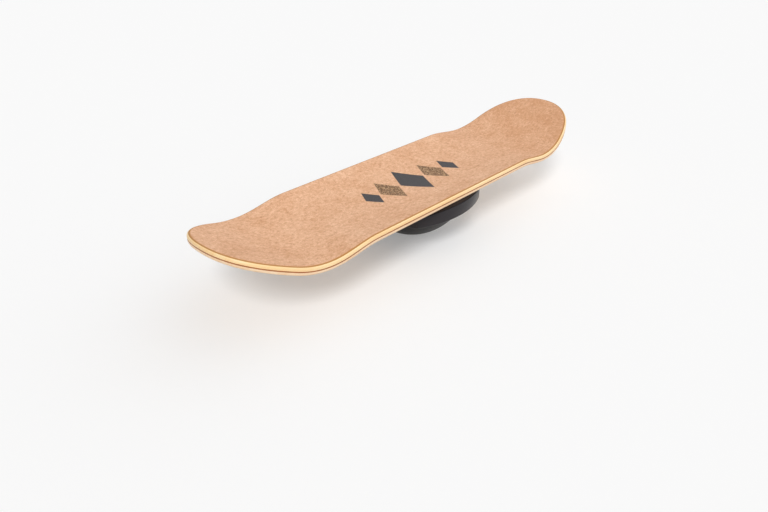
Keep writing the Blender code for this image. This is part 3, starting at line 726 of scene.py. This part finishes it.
def circle(radius, height, count=128):
    turns = [2 * math.pi * i / count for i in range(count)]
    return [Vector((radius * math.cos(turn), radius * math.sin(turn), height)) for turn in turns]


def turned(profile, count=128):
    """A ring for each (radius, height) point, as on a lathe."""
    return [circle(radius, height, count) for radius, height in profile]


def fillet(middle_radius, middle_height, radius, from_angle, to_angle, steps=4):
    """The (radius, height) points of a rounded edge about its own middle."""
    points = []
    for i in range(steps + 1):
        angle = math.radians(from_angle + (to_angle - from_angle) * i / steps)
        out = middle_radius + radius * math.cos(angle)
        points.append((out, middle_height + radius * math.sin(angle)))
    return points


# %% [markdown]
# Seen from below, the collar and its pad are a square with bowed sides and rounded corners: a
# large arc about a point beyond the middle for each side, and a small one for each corner, which
# meet where they share a tangent. Drawing the outline in just shortens all the radii, so the
# rounded lower edge can follow it exactly.

# %% The collar's outline
COLLAR_HALF_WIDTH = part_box("saddle_pad")[1][0]
SIDE_RADIUS = 0.170
CORNER_RADIUS = 0.006
SIDE_POINTS = 36
CORNER_POINTS = 12


def arc(towards, reach, radius, start, sweep, count):
    """Points (x, y) of an arc, about a middle this far off in this direction."""
    points = []
    for i in range(count):
        angle = start + sweep * i / count
        x = reach * math.cos(towards) + radius * math.cos(angle)
        y = reach * math.sin(towards) + radius * math.sin(angle)
        points.append((x, y))
    return points


def bowed_square(inset=0.0):
    """The outline's (x, y) points, drawn in by the inset."""
    centre = SIDE_RADIUS - COLLAR_HALF_WIDTH
    between_middles = SIDE_RADIUS - CORNER_RADIUS
    corner = (math.sqrt(2 * between_middles**2 - centre**2) - centre) / 2
    half_side = math.atan2(corner, corner + centre)
    side = 2 * half_side
    points = []
    for quarter in range(4):
        turn = math.pi / 2 * quarter
        start = turn - half_side
        points += arc(turn, -centre, SIDE_RADIUS - inset, start, side, SIDE_POINTS)
        diagonal = turn + math.pi / 4
        reach = corner * math.sqrt(2)
        rest = math.pi / 2 - side
        points += arc(diagonal, reach, CORNER_RADIUS - inset, start + side, rest, CORNER_POINTS)
    return points


OUTLINE = bowed_square()


def point_at(x, y, height):
    """A point at a height that is a number or a function of x and y."""
    return Vector((x, y, height(x, y) if callable(height) else height))


def outline_ring(inset, height):
    return [point_at(x, y, height) for x, y in bowed_square(inset)]


def round_ring(radius, height):
    """A circle whose points lie in the same directions as the outline's."""
    ring = []
    for x, y in OUTLINE:
        length = math.hypot(x, y)
        ring.append(point_at(x / length * radius, y / length * radius, height))
    return ring


def at_depth(depth):
    """The height of the face this deep in the deck, as a function of x and y."""
    return lambda x, y: deck_height(x, y, depth)


def face_rings(inner_radius, inset, height, steps=8):
    """Rings that spread from a round hole to the outline, over a face of this height."""
    inner = round_ring(inner_radius, height)
    outer = outline_ring(inset, height)
    rings = []
    for i in range(steps + 1):
        points = [first.lerp(last, i / steps) for first, last in zip(inner, outer)]
        rings.append([point_at(point.x, point.y, height) for point in points])
    return rings


# %% Saddle pad
PAD_THICKNESS = 0.0082
PAD_TOP_DEPTH = DECK_THICKNESS + GAP
PAD_BOTTOM_DEPTH = PAD_TOP_DEPTH + PAD_THICKNESS
HEAD_ROOM_RADIUS = 0.0130
PAD_EDGE = 0.0009


def make_pad():
    """Foam between the deck and the collar, whose upper and lower faces follow the deck."""
    upper = face_rings(HEAD_ROOM_RADIUS, PAD_EDGE, at_depth(PAD_TOP_DEPTH))
    lower = face_rings(HEAD_ROOM_RADIUS, PAD_EDGE, at_depth(PAD_BOTTOM_DEPTH))
    side = [
        outline_ring(0.0, at_depth(PAD_TOP_DEPTH + PAD_EDGE)),
        outline_ring(PAD_EDGE * 0.4, at_depth((PAD_TOP_DEPTH + PAD_BOTTOM_DEPTH) / 2)),
        outline_ring(0.0, at_depth(PAD_BOTTOM_DEPTH - PAD_EDGE)),
    ]
    return skin_from("saddle_pad_skin", upper + side + lower[::-1], FOAM, loop=True)


pad = make_pad()
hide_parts("saddle_pad")
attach(pad, "deck")

# %% [markdown]
# The collar is one moulding. Its top is shaped like the deck's underside, its sides stand
# straight, and a round pocket in its underside lets the rim of the dome turn. The rings go
# round it in one loop: up the middle bore, out over the top, down the sides, and back in along
# the pocket and the seat of the bearing. Four screw wells are then cut out of its corners.

# %% Collar
collar_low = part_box("swivel_collar")[0]
dome_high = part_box("dome_shell")[1]
race_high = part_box("upper_race")[1]
washer_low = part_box("thrust_washer")[0]
screw_low, screw_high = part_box("collar_screw_1")
COLLAR_TOP_DEPTH = PAD_BOTTOM_DEPTH + GAP
COLLAR_EDGE = 0.0015
COLLAR_TOP_EDGE = 0.0006
COLLAR_CREASE = 28.0
POCKET_CLEARANCE = 0.0015
POCKET_RADIUS = dome_high[0] + POCKET_CLEARANCE
POCKET_LIP = 0.0006
RACE_SEAT_DEPTH = 0.0010  # how deep each race sits in its seat
RACE_SEAT = race_high[2] + GAP
WEB_BOTTOM = RACE_SEAT - RACE_SEAT_DEPTH
SPOT_FACE = washer_low[2] - GAP
BUSH_BORE = 0.0076
RACE_BORE_RADIUS = 0.0560
RACE_INNER = RACE_BORE_RADIUS - GAP
RACE_OUTER = race_high[0] + GAP
SCREW_OFFSET = (screw_low[0] + screw_high[0]) / 2
WELL_RADIUS = 0.0058
WELL_DEPTH = 0.0055
CUTTER_OVERSHOOT = 0.01
WELL_POINTS = 64


def make_collar():
    bottom = collar_low[2]
    top = at_depth(COLLAR_TOP_DEPTH)
    bevel = COLLAR_TOP_EDGE * 0.3
    rings = [round_ring(HEAD_ROOM_RADIUS, SPOT_FACE)]
    rings += face_rings(HEAD_ROOM_RADIUS, COLLAR_TOP_EDGE, top)
    rings.append(outline_ring(bevel, lambda x, y: top(x, y) - bevel))
    rings.append(outline_ring(0.0, at_depth(COLLAR_TOP_DEPTH + COLLAR_TOP_EDGE)))
    for degrees in range(0, 91, 18):
        angle = math.radians(degrees)
        inset = COLLAR_EDGE * (1 - math.cos(angle))
        rings.append(outline_ring(inset, bottom + COLLAR_EDGE * (1 - math.sin(angle))))
    pocket = [
        (POCKET_RADIUS + POCKET_LIP, bottom),
        (POCKET_RADIUS, bottom + POCKET_LIP),
        (POCKET_RADIUS, WEB_BOTTOM),
        (RACE_OUTER, WEB_BOTTOM),
        (RACE_OUTER, RACE_SEAT),
        (RACE_INNER, RACE_SEAT),
        (RACE_INNER, WEB_BOTTOM),
        (BUSH_BORE, WEB_BOTTOM),
        (BUSH_BORE, SPOT_FACE),
    ]
    rings += [round_ring(radius, height) for radius, height in pocket]
    return skin_from("swivel_collar_skin", rings, COLLAR_PLASTIC, True, COLLAR_CREASE)


def cut_wells(collar):
    """Bores the four screw wells, with one cutter for each, and keeps the result as a mesh."""
    start = collar_low[2] - CUTTER_OVERSHOOT
    end = collar_low[2] + WELL_DEPTH
    profile = [(0.0, start), (WELL_RADIUS, start), (WELL_RADIUS, end), (0.0, end)]
    cutters = []
    for x in (-SCREW_OFFSET, SCREW_OFFSET):
        for y in (-SCREW_OFFSET, SCREW_OFFSET):
            well = turned(profile, WELL_POINTS)
            moved = [[point + Vector((x, y, 0.0)) for point in ring] for ring in well]
            cutters.append(skin_from("well", moved, COLLAR_PLASTIC))
    for cutter in cutters:
        bore = collar.modifiers.new("well", "BOOLEAN")
        bore.solver = "EXACT"
        bore.object = cutter
    mesh = result_of(collar)
    for piece in cutters + [collar]:
        bpy.data.objects.remove(piece)
    return add_piece("swivel_collar_skin", mesh, COLLAR_PLASTIC, COLLAR_CREASE)


collar = cut_wells(make_collar())
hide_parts("swivel_collar")
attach(collar, "deck")
print("the collar has", len(collar.data.polygons), "faces")

# %% [markdown]
# The dome is the lower end of an upright ellipsoid, so its outer and inner curves are both arcs
# of ellipses that share a middle. Its rings run from the pole inside, up the inner wall, over
# the rounded rim and down the outside to the small flat that it stands on.

# %% Dome
DOME_HALF_WIDTH = 0.1115
DOME_HALF_HEIGHT = 0.1486
DOME_WALL = 0.0050
FOOT_RADIUS = 0.0120
RIM_EDGE = 0.0010
DOME_CREASE = 40.0
DOME_POINTS = 192
INNER_STEPS = 40
OUTER_STEPS = 64
FOOT_ANGLE = math.asin(FOOT_RADIUS / DOME_HALF_WIDTH)
DOME_CENTRE = DOME_HALF_HEIGHT * math.cos(FOOT_ANGLE)


def dome_arc(inset, low_angle, top, steps):
    """Points up the dome's curve, or up the inside of its wall, from an angle to a height."""
    half_height = DOME_HALF_HEIGHT - inset
    high_angle = math.acos((DOME_CENTRE - top) / half_height)
    points = []
    for i in range(steps + 1):
        angle = low_angle + (high_angle - low_angle) * i / steps
        out = (DOME_HALF_WIDTH - inset) * math.sin(angle)
        points.append((out, DOME_CENTRE - half_height * math.cos(angle)))
    return points


def make_dome():
    wall_top = dome_high[2] - RIM_EDGE
    inside = dome_arc(DOME_WALL, 0.0, wall_top, INNER_STEPS)
    outside = dome_arc(0.0, FOOT_ANGLE, wall_top, OUTER_STEPS)
    rim = fillet(inside[-1][0] + RIM_EDGE, wall_top, RIM_EDGE, 170, 90)
    rim += fillet(outside[-1][0] - RIM_EDGE, wall_top, RIM_EDGE, 90, 10)
    foot = [(FOOT_RADIUS * share, 0.0) for share in (0.9, 0.5, 0.0)]
    rings = turned(inside + rim + outside[::-1] + foot, DOME_POINTS)
    return skin_from("dome_skin", rings, DOME_PLASTIC, crease=DOME_CREASE)


dome = make_dome()
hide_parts("dome_shell")
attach(dome, "dome")
print("the dome has", len(dome.data.polygons), "faces")

# %% [markdown]
# Inside, ribs carry the bearing's carrier. They repeat round the axis, which is a job for
# geometry nodes: points on a circle, an instance of one rib on each, turned to face outwards.
# The same tree will set the bearing's balls. One on four points of a grid will set the screws.


# %% Trees that repeat a piece
def pattern_tree(name, circular):
    """A tree that sets copies of a piece at the corners of a square or round a circle."""
    sockets = {"Piece": "Object", "Count": "Int", "Reach": "Float", "Height": "Float"}
    sockets["Material"] = "Material"
    tree, size = new_growth(name, sockets)
    piece = tree.node("GeometryNodeObjectInfo", None, {"Object": size["Piece"]}, "Geometry")
    if circular:
        inputs = {"Vertices": size["Count"], "Radius": size["Reach"]}
        points = tree.node("GeometryNodeMeshCircle", None, inputs)
        turn = tree.node("GeometryNodeInputIndex") * (2 * math.pi) / size["Count"]
    else:
        span = size["Reach"] * 2.0
        inputs = {"Size X": span, "Size Y": span, "Vertices X": 2, "Vertices Y": 2}
        points = tree.node("GeometryNodeMeshGrid", None, inputs)
        turn = 0.0
    lift = tree.joined(0.0, 0.0, size["Height"])
    raised = tree.node("GeometryNodeSetPosition", None, {"Geometry": points, "Offset": lift})
    inputs = {"Points": raised, "Instance": piece, "Rotation": tree.joined(0.0, 0.0, turn)}
    copies = tree.node("GeometryNodeInstanceOnPoints", None, inputs)
    return close_growth(tree, copies, size["Material"])


SQUARE_PATTERN = pattern_tree("square_pattern", False)
ROUND_PATTERN = pattern_tree("round_pattern", True)


def copies_of(name, pattern, piece, count, reach, height=0.0):
    """Grows a pattern of a piece, in that piece's finish, and removes the piece itself."""
    values = {"Piece": piece, "Count": count, "Reach": reach, "Height": height}
    values["Material"] = piece.data.materials[0]
    copies = grow(name, pattern, values)
    bpy.data.objects.remove(piece)
    print(name, "has", len(copies.data.polygons), "faces")
    return copies


# %% Ribs
RIB_COUNT = 6
RIB_THICKNESS = 0.0030
RIB_BITE = 0.001  # how far a rib goes into the dome's wall
RIB_SHIFT = 0.001  # outwards, when the ribs are set round the axis
RIB_LOW_ANGLE = 0.15
RIB_STEPS = 16
HUB_CLEARANCE = 0.0135
CARRIER_THICKNESS = 0.0050
carrier_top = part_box("lower_race")[0][2] + RACE_SEAT_DEPTH - GAP
RIB_TOP = carrier_top - CARRIER_THICKNESS - GAP


def make_rib():
    """One rib along +X: a plate between the hub's clearance and the dome's wall."""
    wall = dome_arc(DOME_WALL - RIB_BITE, RIB_LOW_ANGLE, RIB_TOP, RIB_STEPS)
    lower = [point for point in wall if point[0] > HUB_CLEARANCE]
    outline = [(HUB_CLEARANCE, RIB_TOP), (HUB_CLEARANCE, lower[0][1])] + lower
    bm = bmesh.new()
    sides = []
    for y in (-RIB_THICKNESS / 2, RIB_THICKNESS / 2):
        sides.append([bm.verts.new((x, y, z)) for x, z in outline])
    bm.faces.new(sides[0])
    bm.faces.new(sides[1][::-1])
    add_band(bm, *sides)
    return add_piece("rib", mesh_from(bm, "rib"), DOME_PLASTIC)


ribs = copies_of("dome_ribs", ROUND_PATTERN, make_rib(), RIB_COUNT, RIB_SHIFT)
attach(ribs, "dome")

# %% [markdown]
# A cap screw is a turned shape with one part that isn't round, the hexagon socket in its head.
# The same ring skin makes it: from the floor of the socket, along its six walls, over the head
# and up the shank.


# %% Screws
SCREW_POINTS = 96
SOFTENING = 0.14  # the radius of a head's edge, against its height
SOCKET_WIDTH = 0.52  # from corner to corner, against the head's width
SOCKET_LIP = 1.12  # the round mouth of the socket, against its corners
SOCKET_FLOOR = 0.35  # how far from the seat, against the head's height


def hexagon(corner_radius, height):
    """A ring with six straight sides."""
    ring = []
    for i in range(SCREW_POINTS):
        turn = 2 * math.pi * i / SCREW_POINTS
        off_middle = (turn % (math.pi / 3)) - math.pi / 6
        radius = corner_radius * math.cos(math.pi / 6) / math.cos(off_middle)
        ring.append(Vector((radius * math.cos(turn), radius * math.sin(turn), height)))
    return ring


def make_screw(name, head_radius, head_height, shank_radius, length):
    """A screw with the seat of its head at the origin and its shank going up."""
    soften = head_height * SOFTENING
    socket = head_radius * SOCKET_WIDTH
    floor = -head_height * SOCKET_FLOOR
    rings = [
        circle(0.0, floor, SCREW_POINTS),
        hexagon(socket, floor),
        hexagon(socket, -head_height + soften * 0.5),
        circle(socket * SOCKET_LIP, -head_height, SCREW_POINTS),
    ]
    edge = fillet(head_radius - soften, -head_height + soften, soften, -90, 0)
    profile = edge + [(head_radius, 0.0), (shank_radius, 0.0), (shank_radius, length - soften)]
    profile += [(shank_radius - soften, length), (0.0, length)]
    return skin_from(name, rings + turned(profile, SCREW_POINTS), BLACK_STEEL)


# %% Collar screws
COLLAR_SCREW = (0.0048, 0.0030, 0.0025)  # head radius, head height, shank radius
screw_seat = collar_low[2] + WELL_DEPTH - GAP
one_screw = make_screw("one_screw", *COLLAR_SCREW, screw_high[2] - screw_seat)
screws = copies_of("collar_screws", SQUARE_PATTERN, one_screw, 4, SCREW_OFFSET, screw_seat)
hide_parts(*[f"collar_screw_{i}" for i in range(1, 5)])
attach(screws, "deck")

# %% [markdown]
# The bearing's balls repeat in the same way, round the middle of the track between the bore and
# the rim of the races.

# %% Bearing balls
ball_low, ball_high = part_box("bearing_ball_01")
BALL_COUNT = 16
ball_radius = (ball_high[2] - ball_low[2]) / 2
track_radius = (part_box("lower_race")[1][0] + RACE_BORE_RADIUS) / 2
BALL_STEPS = 16  # from pole to pole


def make_ball():
    angles = [math.pi * i / BALL_STEPS for i in range(BALL_STEPS + 1)]
    profile = [(ball_radius * math.sin(a), -ball_radius * math.cos(a)) for a in angles]
    return skin_from("one_ball", turned(profile, 2 * BALL_STEPS), STEEL)


ball = make_ball()
ball_height = (ball_low[2] + ball_high[2]) / 2
balls = copies_of("bearing_balls", ROUND_PATTERN, ball, BALL_COUNT, track_radius, ball_height)
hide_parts(*[f"bearing_ball_{i:02d}" for i in range(1, BALL_COUNT + 1)])
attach(balls, "cage")

# %% [markdown]
# Each bumper is a half ball of rubber under a kick, set square to the deck there. Its upper rim
# has to follow the curve of the deck, so every point of that rim slides along the bumper's own
# axis until it meets the underside. The well in its end hides a washer and a cap screw.

# %% Bumpers
BUMPER_RADIUS = 0.0270
BUMPER_HEIGHT = 0.0270
BUMPER_SKIRT = 0.0030
BUMPER_FROM_TIP = 0.1190
RECESS_RADIUS = 0.0080
RECESS_DEPTH = 0.0110
RECESS_EDGE = 0.0012
BORE_RADIUS = 0.0036
BUMPER_STEPS = 28
SEAT_RINGS = (0.5, 0.8, 0.99, 1.0)  # against the bumper's radius
SEATING_STEPS = 6
SLOPE_STEP = 0.0001
WASHER_BORE = 0.0033
WASHER_RADIUS = 0.0072
WASHER_THICKNESS = 0.0012
BUMPER_SCREW = (0.0060, 0.0036, 0.0030)  # head radius, head height, shank radius
BUMPER_SCREW_END = 0.0085  # how far the screw reaches into the deck


def bumper_frame(side):
    """The place and the three directions of a bumper: along, across and square to the deck."""
    x = side * (DECK_LENGTH / 2 - BUMPER_FROM_TIP)
    rise = deck_height(x + SLOPE_STEP, 0.0, 0.0) - deck_height(x - SLOPE_STEP, 0.0, 0.0)
    slope = rise / (2 * SLOPE_STEP)
    along = Vector((1.0, 0.0, slope)).normalized()
    square = Vector((-slope, 0.0, 1.0)).normalized()
    origin = Vector((x, 0.0, deck_height(x, 0.0, DECK_THICKNESS)))
    return origin, along, Vector((0.0, 1.0, 0.0)), square


def set_in(ring, place):
    """Moves a ring from its own axes to a bumper's place."""
    origin, along, across, square = place
    return [origin + along * p.x + across * p.y + square * p.z for p in ring]


def seated(ring, place):
    """Slides each point of a ring along the bumper's axis to just under the deck."""
    square = place[3]
    slid = []
    for point in set_in(ring, place):
        for turn in range(SEATING_STEPS):
            short = deck_height(point.x, point.y, DECK_THICKNESS + GAP) - point.z
            point = point + square * short
        slid.append(point)
    return slid


def make_bumper(end, place):
    ball_depth = BUMPER_HEIGHT - BUMPER_SKIRT
    mouth = math.degrees(math.asin((RECESS_RADIUS + RECESS_EDGE) / BUMPER_RADIUS))
    profile = []
    for i in range(BUMPER_STEPS + 1):
        angle = math.radians(90 + (mouth - 90) * i / BUMPER_STEPS)
        height = -BUMPER_SKIRT - ball_depth * math.cos(angle)
        profile.append((BUMPER_RADIUS * math.sin(angle), height))
    recess_top = RECESS_DEPTH - BUMPER_HEIGHT
    mouth_height = profile[-1][1] + RECESS_EDGE
    profile += fillet(RECESS_RADIUS + RECESS_EDGE, mouth_height, RECESS_EDGE, 265, 180)
    profile += [(RECESS_RADIUS, recess_top), (BORE_RADIUS, recess_top)]
    seat_radii = [BORE_RADIUS] + [BUMPER_RADIUS * share for share in SEAT_RINGS]
    rings = [seated(circle(radius, 0.0), place) for radius in seat_radii]
    rings += [set_in(ring, place) for ring in turned(profile)]
    bumper = skin_from(f"{end}_bumper_skin", rings, RUBBER, loop=True)
    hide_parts(f"{end}_bumper")
    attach(bumper, "deck")


def dress_bumper_screw(end, place):
    """The washer and cap screw in a bumper's well."""
    washer_top = RECESS_DEPTH - BUMPER_HEIGHT - GAP
    washer_bottom = washer_top - WASHER_THICKNESS
    profile = [(WASHER_BORE, washer_top), (WASHER_RADIUS, washer_top)]
    profile += [(WASHER_RADIUS, washer_bottom), (WASHER_BORE, washer_bottom)]
    rings = [set_in(ring, place) for ring in turned(profile, WELL_POINTS)]
    washer = skin_from(f"{end}_washer_skin", rings, STEEL, loop=True)
    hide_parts(f"{end}_bumper_washer")
    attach(washer, "deck")
    seat = washer_bottom - GAP
    screw = make_screw(f"{end}_screw_skin", *BUMPER_SCREW, BUMPER_SCREW_END - seat)
    for vert in screw.data.vertices:
        vert.co = set_in([vert.co + Vector((0.0, 0.0, seat))], place)[0]
    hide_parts(f"{end}_bumper_screw")
    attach(screw, "deck")


for end, side in (("nose", 1), ("tail", -1)):
    place = bumper_frame(side)
    make_bumper(end, place)
    dress_bumper_screw(end, place)

# %% [markdown]
# The pieces that hide in the bearing and the deck keep their own solids. They only need a
# finish, which replaces the materials they came with.

# %% Finish the pieces that keep their solids
KEPT = [
    (NYLON, ["bearing_carrier", "ball_cage"]),
    (STEEL, ["lower_race", "upper_race", "thrust_washer"]),
    (BRASS, ["pivot_bush", "hub_insert", "nose_bumper_insert", "tail_bumper_insert"]),
    (BRASS, [f"collar_insert_{i}" for i in range(1, 5)]),
    (BLACK_STEEL, ["kingpin_bolt"]),
    (BLACK_STEEL, [f"carrier_screw_{i}" for i in range(1, 7)]),
]
for material, nodes in KEPT:
    for node in nodes:
        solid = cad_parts[node]
        solid.data.materials.clear()
        solid.data.materials.append(material)
    print(material.name, "is on", len(nodes), "solids")

# %% [markdown]
# The studio is a plain white sweep. Its paper is a light grey that rays from the camera, or from
# a reflection, find brighter than the light makes it. That keeps the paper white round the
# board, lights nothing, and leaves the shadow under the deck as light as a studio's. The sky
# behind it takes the same three kinds of ray for the same reason.

# %% Floor
FLOOR_SIZE = 60.0
PAPER = 0.70
FLOOR_LIFT = 0.28
FLOOR_DROP = 0.0002  # a hair below the dome's foot


def seen_ray(tree):
    """1 for rays that show a thing to the camera, straight or in gloss or glass, and else 0."""
    kinds = ("Is Camera Ray", "Is Glossy Ray", "Is Transmission Ray")
    camera_ray, glossy, glass = [tree.node("ShaderNodeLightPath", None, None, k) for k in kinds]
    return most(most(camera_ray, glossy), glass)


def make_floor():
    paper, tree, shader = new_finish("white_sweep")
    tree.feed(shader, {
        "Base Color": (PAPER, PAPER, PAPER, 1.0),
        "Roughness": 0.9,
        "Specular IOR Level": 0.0,
        "Emission Color": (1.0, 1.0, 1.0, 1.0),
        "Emission Strength": seen_ray(tree) * FLOOR_LIFT,
    })
    bpy.ops.mesh.primitive_plane_add(size=FLOOR_SIZE, location=(0.0, 0.0, -FLOOR_DROP))
    floor = bpy.context.object
    floor.name = "floor"
    floor.data.materials.append(paper)
    return floor


make_floor()

# %% [markdown]
# Three soft lights make the picture's shading. A weak sky fills everything. One lamp high up
# behind the camera, its disc wide enough to blur its shadow, throws that shadow in under the
# deck. It favours the nose's slope, so a broad low glow in the sky, from the right of the
# picture, makes up for that on the tail's. Together they light a level face at about 1, so a
# colour comes out as it was noted.

# %% Light
SKY_STRENGTH = 0.21
SIDE_STRENGTH = 1.10
SIDE_DIRECTION = Vector((0.93, -0.30, 0.20))
SUN_STRENGTH = 1.98
SUN_DIRECTION = Vector((-0.84, -0.62, 1.0))
SUN_DISC = math.radians(20.0)
WHITE_STRENGTH = 0.97  # what the camera and reflections see of the sky

world = bpy.data.worlds.new("studio")
world.use_nodes = True
scene.world = world
sky = Tree(world.node_tree)
upwards = sky.node("ShaderNodeTexCoord", None, None, "Generated")
facing = {0: upwards, 1: SIDE_DIRECTION}
from_side = sky.node("ShaderNodeVectorMath", {"operation": "DOT_PRODUCT"}, facing, "Value")
lighting = SKY_STRENGTH + SIDE_STRENGTH * most(from_side, 0.0)
strength = lighting + (WHITE_STRENGTH - lighting) * seen_ray(sky)
background = world.node_tree.nodes["Background"]
sky.feed(background, {"Color": (1.0, 1.0, 1.0, 1.0), "Strength": strength})

sun_data = bpy.data.lights.new("soft_lamp", "SUN")
sun_data.energy = SUN_STRENGTH
sun_data.angle = SUN_DISC
sun = bpy.data.objects.new("soft_lamp", sun_data)
sun.rotation_euler = SUN_DIRECTION.to_track_quat("Z", "Y").to_euler()
scene.collection.objects.link(sun)
scene.view_settings.view_transform = "Standard"
